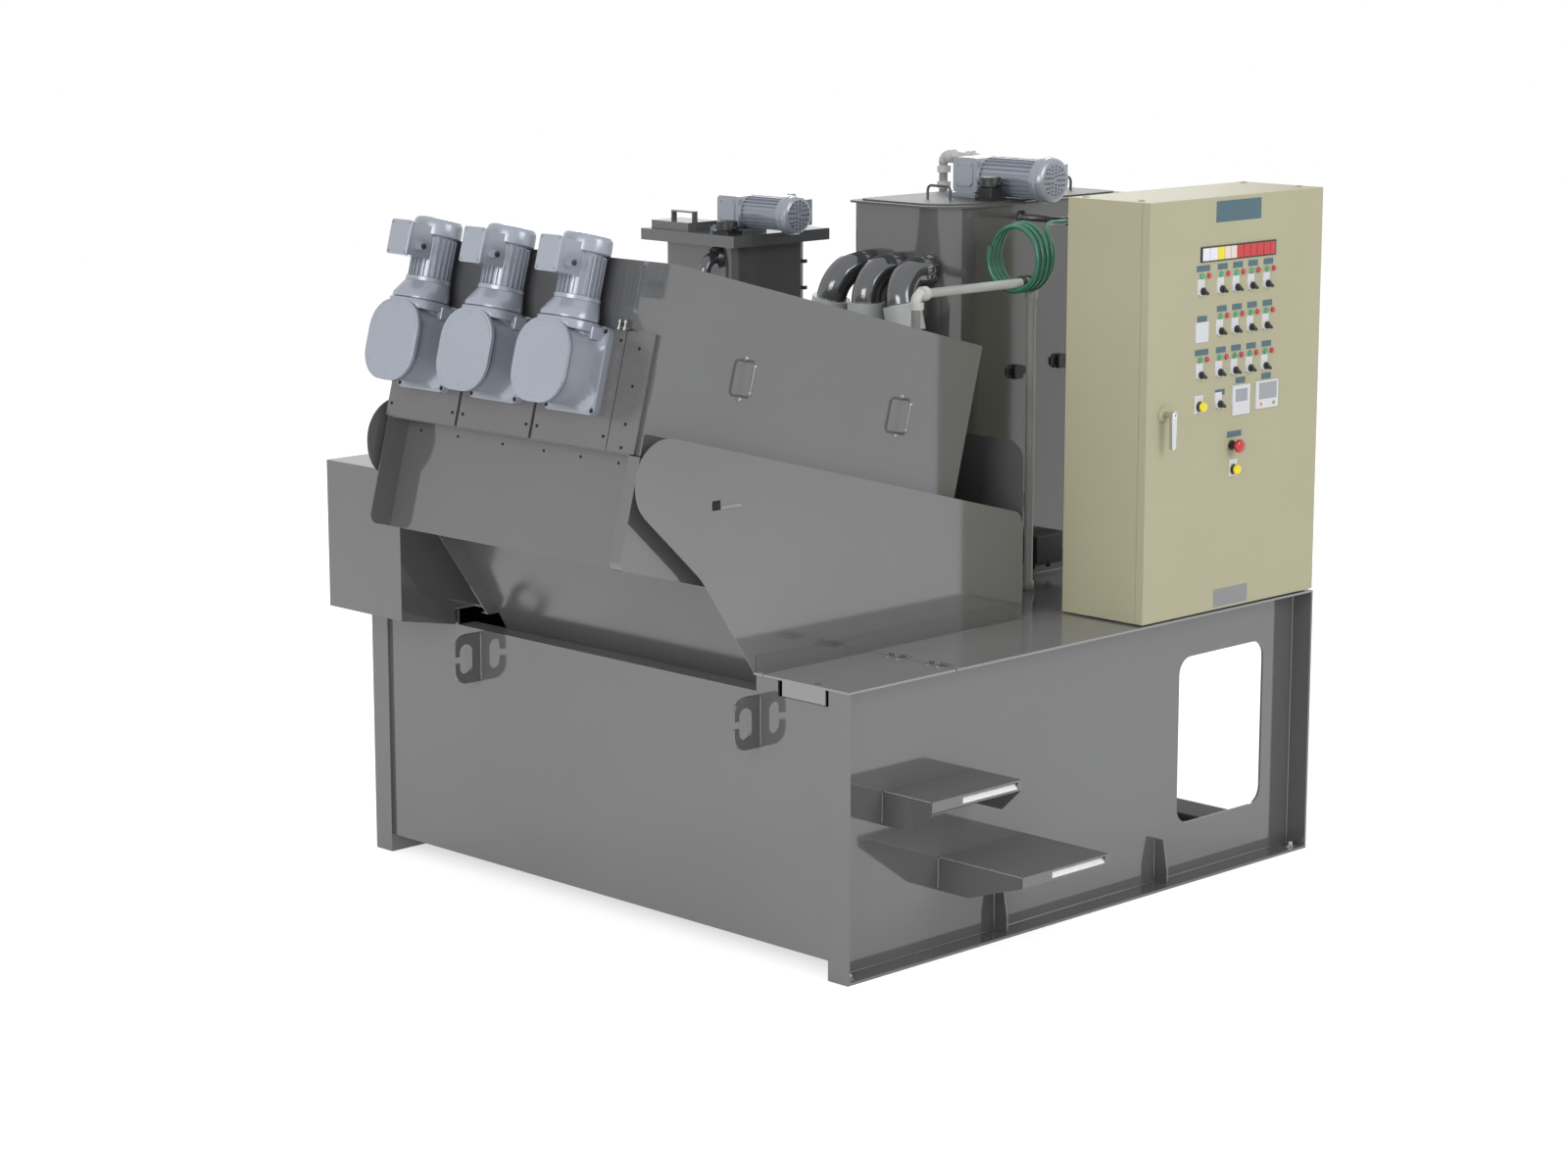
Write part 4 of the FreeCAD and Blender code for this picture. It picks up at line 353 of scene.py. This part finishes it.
zinc_steel = surface("zinc_steel", "#A6A9AC", 1.0, 0.3, (400, 400, 400), 0.04, 0.1, 0.1)
LID_HINGES, LEAF_SCREWS, HINGE_LINE = (752, 902), (12, 48), -583
for body, offset in (("lid", -22), ("machine", 22)):
    heads("lid_hinge_screws_" + body,
          [facing_up(first + step, HINGE_LINE + offset, 802)
           for first in LID_HINGES for step in LEAF_SCREWS], 3.6, 1.4, zinc_steel, body, 14)
ANCHORS = [facing_up(x, y, 8) for x in (-966, 966) for y in (-962, 962)]
heads("anchor_nuts", ANCHORS, 13, 13, zinc_steel, "machine", 6, 1.35, 0.22)


# Trough and guards: bright cold rolled stainless sheet, welded to the base. Behind the right guard's
# nose a near black patch is painted shade, beside a light tab. The trough's front wall is a darker
# grey, painted shade for the shaded inside of the trough.
def loft(bm, seat, sections, steps=4):
    """A closed body through rounded rectangles (wide, tall, corner, height, shift), in mm.
    They stand along the seat's Z axis, each shifted along its Y axis."""
    rings = []
    for wide, tall, corner, height, shift in sections:
        ring = []
        for quarter, (sx, sy) in enumerate(((1, 1), (-1, 1), (-1, -1), (1, -1))):
            for k in range(steps + 1):
                angle = math.pi / 2 * (quarter + k / steps)
                ring.append(bm.verts.new(seat @ Vector((
                    (sx * (wide / 2 - corner) + corner * math.cos(angle)) * MM,
                    (sy * (tall / 2 - corner) + corner * math.sin(angle) + shift) * MM, height * MM))))
        rings.append(ring)
    count = len(rings[0])
    for low, high in zip(rings, rings[1:]):
        for k in range(count):
            bm.faces.new((low[k], low[(k + 1) % count], high[(k + 1) % count], high[k]))
    bm.faces.new(list(reversed(rings[0])))
    bm.faces.new(rings[-1])


def slab(bm, seat, wide, tall, deep, corner=0.01, edge=0.0, steps=4):
    """A plate centred on the seat, rising along its Z axis, with round corners and a soft rim."""
    rim = [(wide, tall, corner, 0, 0), (wide, tall, corner, deep - edge, 0)]
    if edge:
        rim.append((wide - 2 * edge, tall - 2 * edge, max(corner - edge, 0.005), deep, 0))
    loft(bm, seat, rim, steps)


guard_steel = surface("guard_steel", "#797979", 0.36, 0.08, (300, 300, 16), 0.006, 0.03, 0.02, patch=1.4)
# Near black: for the dark screw and bolt heads, and as painted shade in the vent holes, the keyhole and
# behind the guard's nose.
dark_hole = surface("dark_hole", "#0C0D0E", 0.0, 0.8, (80, 80, 80), 0.02, 0.1)
dress(guard_steel, "right_guard", "left_guard", "rear_splash_plate")
# Painted shade: the trough's front wall is darker than the guards, for the shade inside the trough.
wet_steel = surface("wet_steel", "#676767", 0.34, 0.18, (300, 300, 16), 0.012, 0.04, 0.05, patch=2.4)
dress(wet_steel, "trough_front_wall")
GUARD = 647
# Painted shade: a near black plate behind the right guard's nose, where shade falls.
bm = bmesh.new()
slab(bm, facing_right(GUARD, -1139, 1271), 30, 26, 0.4, 3)
piece("guard_nose_shade", bm, dark_hole, "machine", 0)
bm = bmesh.new()
slab(bm, facing_right(GUARD, -1085, 1263), 78, 9, 2, 2, 0.6)
piece("guard_tab", bm, weld_steel, "machine", 30)


# Press front: the motor plates are ground stainless, held by socket screws, and a pair of spray
# nozzles stands on each. The press is tilted, so its details are placed in its own frame, with X
# across, Y down its axis and Z up from its roof line.
plate_steel = surface("plate_steel", "#737170", 0.36, 0.24, (280, 280, 20), 0.02, 0.03, 0.05, patch=1.5)
dress(plate_steel, "motor_plates")
PRESS_TILT = 15
press = Matrix.Translation((0, -1.232, 1.910)) @ Matrix.Rotation(math.radians(-PRESS_TILT), 4, "X")


def turn(bm, seat, outline, count=24):
    """A turned or many-sided body about the seat's Z axis from (radius, height) pairs in mm."""
    rings = []
    for radius, height in outline:
        rings.append([bm.verts.new(seat @ Vector((radius * MM * math.cos(2 * math.pi * k / count),
                                                  radius * MM * math.sin(2 * math.pi * k / count),
                                                  height * MM))) for k in range(count)])
    for low, high in zip(rings, rings[1:]):
        for k in range(count):
            bm.faces.new((low[k], low[(k + 1) % count], high[(k + 1) % count], high[k]))
    bm.faces.new(list(reversed(rings[0])))
    bm.faces.new(rings[-1])


def on_front(x, down, off=0):
    """A seat on the press front, out of it: x across, down from the roof line, off in front."""
    return press @ seat_at((x, -off, -down), (1, 0, 0), (0, -1, 0))


SCREWS = [-442 + 297 / 2 + n * 308 for n in range(3)]
heads("motor_plate_screws",
      [on_front(x + side * 132, down, 10) for x in SCREWS for side in (-1, 1) for down in (215, 470)]
      + [on_front(530, down, 10) for down in (230, 330, 430, 492)], 3.6, 2.4, dark_hole, "machine",
      14)
heads("hood_screws",
      [press @ seat_at((x, 75, -530), (1, 0, 0), (0, -1, 0)) for x in (-380, -220, -30, 140, 290, 440, 530)],
      3.4, 1.6, dark_hole, "machine", 14)
bm = bmesh.new()
for x in SCREWS:
    for step in (0, 22):
        tube = press @ facing_up(x + 118 + step, -12, -184)
        turn(bm, tube, [(7, -4), (7, 4), (4.5, 4.2), (4.5, 13.8), (6.5, 14), (6.5, 22), (3, 26)], 20)
    turn(bm, press @ facing_right(x + 114, -12, -182), [(3, 0), (3, 46)], 14)
piece("spray_nozzles", bm, weld_steel, "machine", 30)


# Side cover: a stainless tray over the right side of the drums. Its two handles are bent from round
# bar and held by a nut at each foot.
COVER = 597
FEET = [press @ facing_right(COVER, along, reach - 248)
        for along in (314, 937) for reach in (-52, 52)]
heads("cover_handle_nuts", FEET, 6.4, 3.6, zinc_steel, "machine", 6)


# Gearmotors: a cast gearbox with a soft body between flange and oval cover, a bell above it and a
# finned motor on top with a domed fan cover. Castings and covers share one silvery blue enamel.
motor_enamel = surface("motor_enamel", "#9FA4AE", 0.2, 0.24, (420, 420, 420), 0.04, 0.04, 0.05, 0.2)
# Painted shade: the grooves at the cover's rim and round the bell's neck are a dark grey where shade falls in
# them.
groove_paint = surface("groove_paint", "#4A4E56", 0.0, 0.5, (300, 300, 300), 0.04, 0.1)
black_plastic = surface("black_plastic", "#1D1F22", 0.0, 0.42, (300, 300, 300), 0.08, 0.15)
dress(motor_enamel, "screw_gearbox_1", "screw_gearbox_2", "screw_gearbox_3", "screw_motor_1",
      "screw_motor_2", "screw_motor_3")
AXIS_DOWN, FLANGE_OFF, COVER_OFF, MOTOR_OFF, BELL_TOP, BODY = 304, 30, 160, 70, 132, 130
for number, x in enumerate(SCREWS, 1):
    tag = "_%d" % number
    heads("flange_bolts" + tag,
          [on_front(x + sx * 90, AXIS_DOWN + sy * 106, FLANGE_OFF) for sx in (-1, 1) for sy in (-1, 1)],
          5.4, 1.6, dark_hole, "machine", 14)
    heads("cover_screws" + tag,
          [on_front(x + 82 * sx, AXIS_DOWN + sy * 60, COVER_OFF) for sx in (-1, 1) for sy in (-1, 1)]
          + [on_front(x, AXIS_DOWN + 96 * sy, COVER_OFF) for sy in (-1, 1)],
          4.4, 1.8, motor_enamel, "machine", 14)
    paint, groove = bmesh.new(), bmesh.new()
    loft(paint, on_front(x, AXIS_DOWN, FLANGE_OFF),
         [(196, 226, 50, -1, 0), (195, 216, 68, 9, 0), (194.6, 211, 77.5, 26, 0),
          (194.5, 210.5, 78, 42, 0)], 8)
    loft(groove, on_front(x, AXIS_DOWN, COVER_OFF - 12.4),
         [(209.8, 223.8, 84.2, 0, 0), (209.8, 223.8, 84.2, 3, 0)], 10)
    slab(paint, on_front(x, AXIS_DOWN, COVER_OFF), 194, 208, 1.4, 78, 1.2, 10)
    shelf = press @ facing_up(x, -FLANGE_OFF - 22, -AXIS_DOWN + 78)
    slab(paint, shelf, 172, 44, 34, 4, 2.5)
    neck = press @ facing_up(x, -MOTOR_OFF, -AXIS_DOWN + 96)
    loft(paint, neck, [(164, 146, 60, 0, -15), (164, 146, 60, 22, -15), (161, 143, 58, 24, -15)], 8)
    loft(groove, neck, [(148, 134, 60, 23, -14), (148, 134, 60, 27.5, -14)], 8)
    loft(paint, neck, [(156, 142, 64, 27, -15), (156, 142, 64, 37, -15), (140, 134, 62, 56, -8),
                       (125, 125, 62.4, 76.4, 0)], 8)
    foot = press @ facing_up(x, -MOTOR_OFF, -BELL_TOP)
    turn(paint, foot, [(61, 0.3), (62.8, 1.5), (62.8, 12), (60.5, 13.5)], 48)
    lift = foot @ Matrix.Translation((0, 0, BODY * MM))
    turn(paint, lift, [(62, -2), (67.6, 1), (68, 8), (67.4, 30), (66, 38), (61.5, 44.8), (54, 47.6),
                       (34, 48.6), (3, 49)], 64)
    box_front = press @ seat_at((x, -MOTOR_OFF - 121, -BELL_TOP + 105), (1, 0, 0), (0, -1, 0))
    slab(paint, box_front, 86, 96, 9, 7, 2.5, 6)
    gland = press @ facing_right(x + 56, -MOTOR_OFF - 90, -BELL_TOP + 90)
    turn(paint, gland, [(11, 0), (11, 7)], 6)
    piece("gearmotor_details" + tag, paint, motor_enamel, "machine", 35)
    piece("gearmotor_grooves" + tag, groove, groove_paint, "machine", 35)
    bm = bmesh.new()
    turn(bm, gland @ Matrix.Translation((0, 0, 7 * MM)), [(8, 0), (8, 3), (6, 4)], 20)
    piece("gearmotor_leads" + tag, bm, black_plastic, "machine", 30)
    heads("terminal_box_screws" + tag,
          [box_front @ Matrix.Translation((sx * 35 * MM, sy * 40 * MM, 9 * MM)) for sx in (-1, 1)
           for sy in (-1, 1)], 3.6, 1.6, zinc_steel, "machine", 14)


# Tanks: folded and welded stainless sheet with a softer, more matt finish than the base. Small
# clamps and fittings for the pipes are bolted to their right sides.
tank_steel = surface("tank_steel", "#707070", 0.36, 0.09, (240, 240, 18), 0.006, 0.03, 0.02, patch=1.5)
roof_steel = surface("roof_steel", "#626262", 0.1, 0.5, (240, 240, 240), 0.02, 0.04, 0.05, gloss=0.15)
dress(tank_steel, "mixing_tank", "mixing_tank_lid", "mixing_tank_hatch", "flocculation_tank", "feed_box")
dress(roof_steel, "flocculation_tank_roof")
bm = bmesh.new()
for y, z in ((500, 1437), (700, 1452), (520, 1042)):
    slab(bm, facing_right(240, y, z), 86, 24, 6, 2, 1.5)
    slab(bm, facing_right(246, y, z - 2), 40, 42, 12, 6, 2)
for z in (1625, 1709):
    slab(bm, facing_right(-628, 468, z), 16, 12, 8, 2, 1.5)
piece("pipe_clamps", bm, black_plastic, "machine", 30)
heads("hatch_screws",
      [facing_up(x, y, 1817) for x in (-962, -822) for y in (150, 246)], 3.6, 1.6,
      zinc_steel, "machine", 14)
bm = bmesh.new()
for left, front, right, rear in ((-158, 200, 240, 996), (-950, 160, -628, 482)):
    for start, end in (((left, front), (right, front)), ((right, front), (right, rear)),
                       ((right, rear), (left, rear)), ((left, rear), (left, front))):
        bead(bm, (*start, 801), (*end, 801), 4)
piece("tank_welds", bm, weld_steel, "machine", 60)


# Mixer drives: a worm gearbox bolted to a seat on each tank, with a lying motor whose end cover has
# rings of round vent holes. They have the gearmotors' enamel.
dress(motor_enamel, "mixing_gearbox", "mixing_motor", "flocculation_gearbox", "flocculation_motor")
for tag, fan_radius in (("mixing", 59), ("flocculation", 68)):
    low, high = (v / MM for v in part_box(tag + "_motor"))
    gear_low, gear_high = (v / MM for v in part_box(tag + "_gearbox"))
    middle = (gear_low + gear_high) / 2
    z = low.z + fan_radius
    end = facing_right(high.x, middle.y, z)
    # The vent holes are near black discs, painted shade inside the holes.
    heads(tag + "_vent_holes",
          [end @ Matrix.Rotation(2 * math.pi * k / count, 4, "Z") @ Matrix.Translation((ring * MM, 0, 0))
           for ring, count in ((13, 5), (23, 9), (33, 13), (43, 17)) if ring < fan_radius - 14
           for k in range(count)], 2.9, 0.3, dark_hole, "machine", 10, 0.9, 0.5)
    reach = fan_radius * 0.72
    face = seat_at((middle.x, gear_low.y + 16, middle.z + 6), (1, 0, 0), (0, -1, 0))
    heads(tag + "_cover_screws",
          [end @ Matrix.Rotation(math.pi / 4 * k, 4, "Z") @ Matrix.Translation((reach * MM, 0, 0))
           for k in (1, 3, 5, 7)]
          + [face @ Matrix.Translation((sx * 27 * MM, sy * 29 * MM, 4 * MM))
             for sx in (-1, 1) for sy in (-1, 1)], 3.6, 1.8, zinc_steel, "machine", 14)
    half = (gear_high - gear_low) / 2
    heads(tag + "_seat_bolts",
          [facing_up(middle.x + sx * (half.x - 12), middle.y + sy * (half.y - 9), gear_low.z + 12)
           for sx in (-1, 1) for sy in (-1, 1)],
          6, 4.2, zinc_steel, "machine")
    paint = bmesh.new()
    turn(paint, end @ Matrix.Translation((0, 0, -40 * MM)),
         [(fan_radius + 0.2, 0), (fan_radius + 2, 2), (fan_radius + 2, 12), (fan_radius + 0.2, 14)], 48)
    slab(paint, face, 70, 74, 4, 12, 2, 6)
    piece(tag + "_drive_details", paint, motor_enamel, "machine", 35)


# Level sensors and the junction box: moulded black plastic with cable glands. Each sensor's cap sits
# on a bracket on its tank.
dress(black_plastic, "mixing_level_sensor", "flocculation_level_sensor", "junction_box")
bm = bmesh.new()
for x, y, z, lift in ((-665, 167, 1813, 10), (190, 435, 1951, 41)):
    slab(bm, facing_up(x, y, z + 5), 54, 56, lift - 5, 5, 2)
    turn(bm, facing_up(x, y, z + lift),
         [(30, 0), (32, 2), (32, 26), (30, 29), (22, 30.5), (9, 31)], 32)
    for side in (-1, 1):
        turn(bm, seat_at((x + side * 27, y, z + lift + 9), (0, 1, 0), (side, 0, 0)),
             [(9, 0), (9, 10), (6.5, 11), (6.5, 18)], 16)
for y in (560, 630):
    turn(bm, seat_at((270, y, 840), (0, 1, 0), (0, 0, -1)), [(10, 0), (10, 8), (7, 9), (7, 16)], 20)
slab(bm, facing_right(300, 595, 887.5), 118, 84, 4, 5, 2)
piece("cable_glands", bm, black_plastic, "machine", 35)


# Pipes: polished stainless for the sludge and the outlet elbow, pale rubber sleeves, a cast tap, and
# white PVC pipe for rinse water and polymer, glued in short collars. They are round, so their copies
# are shaded smooth.
polished_steel = surface("polished_steel", "#6A6B6D", 0.7, 0.12, (90, 90, 90), 0.01, 0.04, 0.04)
white_plastic = surface("white_plastic", "#CBCCC8", 0.0, 0.38, (200, 200, 200), 0.03, 0.03)
pale_rubber = surface("pale_rubber", "#C0C3BF", 0.0, 0.45, (160, 160, 160), 0.05, 0.05)
chrome = surface("chrome", "#CFD1D4", 1.0, 0.08, (90, 90, 90), 0.005, 0.03, 0.03)
dark_casting = surface("dark_casting", "#55575A", 0.5, 0.3, (300, 300, 300), 0.03, 0.06, 0.06)
for node, material, slot in (("sludge_pipes", polished_steel, "stainless"),
                             ("mixing_outlet_pipe", polished_steel, "polished_steel"),
                             ("hose_tap", dark_casting, "polished_steel"),
                             ("rinse_pipe", white_plastic, "white_plastic"),
                             ("polymer_pipe", white_plastic, "white_plastic"),
                             ("pipe_couplings", pale_rubber, "pale_plastic")):
    dress(material, node)
    bm = bmesh.new()
    bm.from_mesh(nodes[node].data)
    bmesh.ops.transform(bm, matrix=nodes[node].matrix_world, verts=bm.verts)
    bmesh.ops.remove_doubles(bm, verts=bm.verts, dist=1e-5)
    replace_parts(piece("round_" + node, bm, material, "machine", 50), node)
bm = bmesh.new()
for spot, way in (((-187.5, 640, 2004), (0, 0, 1)), ((-187.5, 640, 1956), (0, 0, 1)),
                  ((-166, 640, 2055.5), (1, 0, 0)), ((-86, 640, 2055.5), (1, 0, 0)),
                  ((-40, 640, 2004), (0, 0, 1)), ((401, -92, 1728), (0, 1, 0)),
                  ((401, -110.4, 1684), (0, 0, 1))):
    turn(bm, seat_at(spot, Vector(way).orthogonal(), way), [(17, 0), (21.2, 0.8), (21.2, 21), (17, 22)], 32)
piece("pipe_collars", bm, white_plastic, "machine", 35)


# Rinse hose: green garden hose, moulded smooth and glossy. Nearly four loose turns hang at the end
# of the white pipe, by its two black clamps, and a lead runs back to the tap in one wide bend.
hose_rubber = surface("hose_rubber", "#2F7A5F", 0.0, 0.2, (120, 120, 120), 0.03, 0.12, 0.06, 0.35)
TURNS, PITCH, COIL_RADIUS, POINTS, BEND = 4, 19, 100, 16, 66
PIPE_Z, PIPE_RADIUS, HOSE_RADIUS, GAP = 1728, 13.5, 7.5, 0.4
HOSE_X, COIL_Y = 401, 330
COIL_Z = PIPE_Z - PIPE_RADIUS - GAP + COIL_RADIUS - HOSE_RADIUS
LEAD_X, LEAD_Z, TAP_Y = HOSE_X + 36, COIL_Z + 93, 500
first = math.atan2(LEAD_Z - COIL_Z, LEAD_X - HOSE_X)
reach = COIL_RADIUS / math.cos(math.pi / POINTS)
turn_length = 2 * math.pi * COIL_RADIUS
laid = [(BEND * (1 - math.cos(t)), BEND * (1 - math.sin(t))) for t in (0, 0.4, 0.8, 1.2)]
laid += [(turn_length * k / POINTS, 0) for k in range(2, TURNS * POINTS - 3)]
route = [(LEAD_X, TAP_Y, LEAD_Z), (LEAD_X, 470, LEAD_Z)]
for along, behind in laid:
    part = along / (TURNS * turn_length)
    angle = first - along / COIL_RADIUS
    loose = reach - 8 * part
    route.append((HOSE_X + loose * math.cos(angle), COIL_Y + (0.5 - part) * TURNS * PITCH + behind,
                  COIL_Z + loose - reach + loose * math.sin(angle)))
line = bpy.data.curves.new("hose", "CURVE")
line.dimensions = "3D"
line.bevel_depth = HOSE_RADIUS * MM
line.bevel_resolution = 5
line.use_fill_caps = True
spline = line.splines.new("NURBS")
spline.points.add(len(route) - 1)
for point, spot in zip(spline.points, route):
    point.co = Vector(spot).to_4d() * MM
    point.co.w = 1
spline.order_u = 3
spline.use_endpoint_u = True
spline.resolution_u = 6
line.materials.append(hose_rubber)
hose = bpy.data.objects.new("hose", line)
scene.collection.objects.link(hose)
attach(hose, "machine")
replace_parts(hose, "hose_coil", "hose_lead")
bm = bmesh.new()
for y in (336, 366):
    turn(bm, seat_at((HOSE_X, y, PIPE_Z), (1, 0, 0), (0, 1, 0)),
         [(18.4, 0), (20, 1), (20, 11), (18.4, 12)], 32)
piece("hose_clamps", bm, black_plastic, "machine", 35)


# Control cabinet: a folded steel box with a hinged door, both powder coated in a light beige. A
# black rubber seal fills the gap, and plugs close the lifting holes in the roof.
cabinet_coat = surface("cabinet_coat", "#BAB699", 0.0, 0.42, (520, 520, 520), 0.04, 0.02, 0.04, gloss=0.05)
seal_rubber = surface("seal_rubber", "#161718", 0.0, 0.6, (200, 200, 200), 0.05, 0.1)
dress(cabinet_coat, "cabinet_body", "cabinet_door")
bm = bmesh.new()
for z in (807, 2003):
    slab(bm, facing_right(967.9, 601, z), 788, 3, 0.9, 1)
for y in (205.5, 996.5):
    slab(bm, facing_right(967.9, y, 1405), 3, 1188, 0.9, 1)
piece("cabinet_seal", bm, seal_rubber, "machine", 0)
bm = bmesh.new()
for x in (730, 934):
    for y in (240, 962):
        turn(bm, facing_up(x, y, 2005), [(11, 0), (11, 1.5), (7, 4), (3, 4.6)], 24)
piece("cabinet_plugs", bm, cabinet_coat, "machine", 40)


# Selector switches: a black knob with a lever on a white square plate, a pair of lamps above each
# and a slate blue laminate label over them, left bare. All sit on the door's face.
DOOR = 996


def on_door(y, z, off=0):
    """A seat on the door's face, off in front of it."""
    return facing_right(DOOR + off, y, z)


laminate = surface("laminate", "#4A6872", 0.0, 0.4, (900, 60, 900), 0.05, 0.06)
switch_white = surface("switch_white", "#DADADC", 0.0, 0.35, (200, 200, 200), 0.03, 0.03)
lamp_green = surface("lamp_green", "#2FA25A", 0.0, 0.15, (90, 90, 90), 0.03, 0.2, coat=0.5)
lamp_red = surface("lamp_red", "#C5161D", 0.0, 0.2, (90, 90, 90), 0.03, 0.12, coat=0.5)
COLUMNS, ROWS = (437, 525, 595, 665, 737), (1742, 1621, 1502)
white, black, labels, green, red, ring = (bmesh.new() for _ in range(6))
knobs = [(y, z) for row, z in enumerate(ROWS) for column, y in enumerate(COLUMNS) if (row, column) != (1, 0)]
for y, z in knobs + [(527, 1410)]:
    slab(white, on_door(y - 1, z + 12), 31, 44, 2, 2, 0.8)
    turn(white, on_door(y - 1, z, 2), [(14.5, 0), (14.5, 3), (13, 4.5)], 28)
    turn(black, on_door(y, z, 6), [(11, 0), (11, 5), (9.5, 7)], 24)
    lever = on_door(y, z, 11) @ Matrix.Rotation(math.radians(-35), 4, "Z")
    slab(black, lever @ Matrix.Translation((0.003, 0, 0)), 26, 8.5, 10, 4, 2, 5)
for y, z in knobs:
    for side, glass in ((0, green), (30, red)):
        turn(ring, on_door(y + side, z + 42), [(9.5, 0), (9.5, 1.6), (8.4, 2.6)], 24)
        turn(glass, on_door(y + side, z + 42, 2.2), [(8, 0), (8, 3.5), (6.8, 5.6), (4, 6.8), (1.2, 7.2)], 24)
    slab(labels, on_door(y + 8, z + 64), 60 if y == COLUMNS[0] else 44, 17, 1.2, 1.5, 0.5)
for y, z, wide in ((444, 1662, 44), (533, 1443, 44), (627, 1470, 44), (748, 1471, 44), (604, 1315, 66)):
    slab(labels, on_door(y, z), wide, 17, 1.2, 1.5, 0.5)
slab(labels, on_door(602, 1963), 205, 60, 1.6, 2, 0.6)
for y, z, wide, tall in ((445, 1624, 58, 58), (436, 1417, 38, 52), (602, 1216, 36, 50)):
    slab(white, on_door(y, z), wide, tall, 2.4, 2, 0.8)
piece("switch_plates", white, switch_white, "door", 30)
piece("selector_knobs", black, black_plastic, "door", 30)
piece("door_labels", labels, laminate, "door", 30)
piece("lamp_rings", ring, zinc_steel, "door", 30)
piece("green_lamps", green, lamp_green, "door", 40)
piece("red_lamps", red, lamp_red, "door", 40)


# Signal panel: a black moulded frame with eleven lit windows of coloured acrylic in a row.
lamp_yellow = surface("lamp_yellow", "#F1DE12", 0.0, 0.25, (90, 90, 90), 0.03, 0.08, coat=0.3)
tile_white = surface("tile_white", "#EDEBF2", 0.0, 0.3, (200, 200, 200), 0.02, 0.03)
tile_pale = surface("tile_pale", "#E8D9CF", 0.0, 0.3, (200, 200, 200), 0.02, 0.05)
bm = bmesh.new()
slab(bm, on_door(604, 1845), 346, 44, 4, 2, 1)
piece("signal_frame", bm, black_plastic, "door", 30)
TILES = ((436, 469, tile_white), (469, 504, tile_white), (504, 535, lamp_yellow), (535, 564, tile_pale),
         (564, 592, tile_pale), (592, 623, lamp_red), (623, 654, lamp_red), (654, 685, lamp_red),
         (685, 716, lamp_red), (716, 746, lamp_red), (746, 773, lamp_red))
for number, (left, right, glass) in enumerate(TILES):
    bm = bmesh.new()
    slab(bm, on_door((left + right) / 2, 1845, 4), right - left - 1.6, 36, 1.6, 1, 0.6)
    piece("signal_tile_%d" % number, bm, glass, "door", 30)


# Meters: two white cases with a grey screen each, and two small lamps under the right one.
screen_grey = surface("screen_grey", "#9FA1A6", 0.0, 0.2, (30, 900, 900), 0.03, 0.08)
lamp_amber = surface("lamp_amber", "#E58A18", 0.0, 0.25, (90, 90, 90), 0.03, 0.08)
case, screen = bmesh.new(), bmesh.new()
slab(case, on_door(627, 1413), 80, 88, 7, 3, 1.5)
slab(case, on_door(748, 1418), 104, 82, 7, 3, 1.5)
slab(screen, on_door(626, 1427, 7), 54, 36, 0.8, 1)
slab(screen, on_door(749, 1429, 7), 82, 48, 0.8, 1)
piece("meter_cases", case, switch_white, "door", 30)
piece("meter_screens", screen, screen_grey, "door", 30)
for y, glass, tag in ((718, lamp_amber, "amber"), (778, lamp_green, "green")):
    bm = bmesh.new()
    turn(bm, on_door(y, 1391, 7), [(5, 0), (5, 1.4), (3.6, 2.2)], 18)
    piece("meter_lamp_" + tag, bm, glass, "door", 40)


# Push buttons: two yellow ones in black collars, and the red mushroom head of the emergency stop.
button, collar, stop = bmesh.new(), bmesh.new(), bmesh.new()
for y, z in ((439, 1411), (602, 1212)):
    turn(collar, on_door(y, z, 2), [(15, 0), (15, 3), (12, 5), (12, 12)], 28)
    turn(button, on_door(y, z, 12), [(13.5, 0), (14.5, 2), (14.5, 7), (12.5, 9.5), (6, 10.5)], 32)
turn(collar, on_door(593, 1283), [(15, 0), (15, 4), (11, 6), (11, 24)], 28)
turn(stop, on_door(593, 1283, 24), [(11, -1), (19, 1), (20, 4), (20, 9), (17.5, 13), (10, 15.5), (3, 16)], 40)
piece("button_collars", collar, black_plastic, "door", 30)
piece("yellow_buttons", button, lamp_yellow, "door", 40)
piece("stop_button", stop, lamp_red, "door", 40)


# Rating plate: a bare brushed aluminium plate at the foot of the door, on four blind rivets.
brushed_plate = surface("brushed_plate", "#8A8A8C", 0.3, 0.4, (500, 80, 500), 0.05, 0.06)
bm = bmesh.new()
slab(bm, on_door(604, 838), 156, 52, 1.2, 2, 0.5)
piece("rating_plate", bm, brushed_plate, "door", 30)
heads("rating_rivets", [on_door(y, z, 1.2) for y in (532, 676) for z in (818, 858)], 2.6, 1.2, zinc_steel,
      "door", 12)


# Door handle: a zinc casting, chromed and polished, on a round plate, with a cap over the spindle
# and a keyhole in it.
dress(chrome, "door_handle")
cap, hole = bmesh.new(), bmesh.new()
hub = facing_right(1039, 277, 1405)
turn(cap, hub, [(9.5, 0), (9.5, 1.4), (7.5, 3)], 28)
# The keyhole is a near black plate, painted shade inside the hole.
slab(hole, hub @ Matrix.Translation((0, 0, 3 * MM)), 2, 8, 0.3, 0.8)
piece("handle_cap", cap, chrome, "handle", 40)
piece("handle_keyhole", hole, dark_hole, "handle", 0)
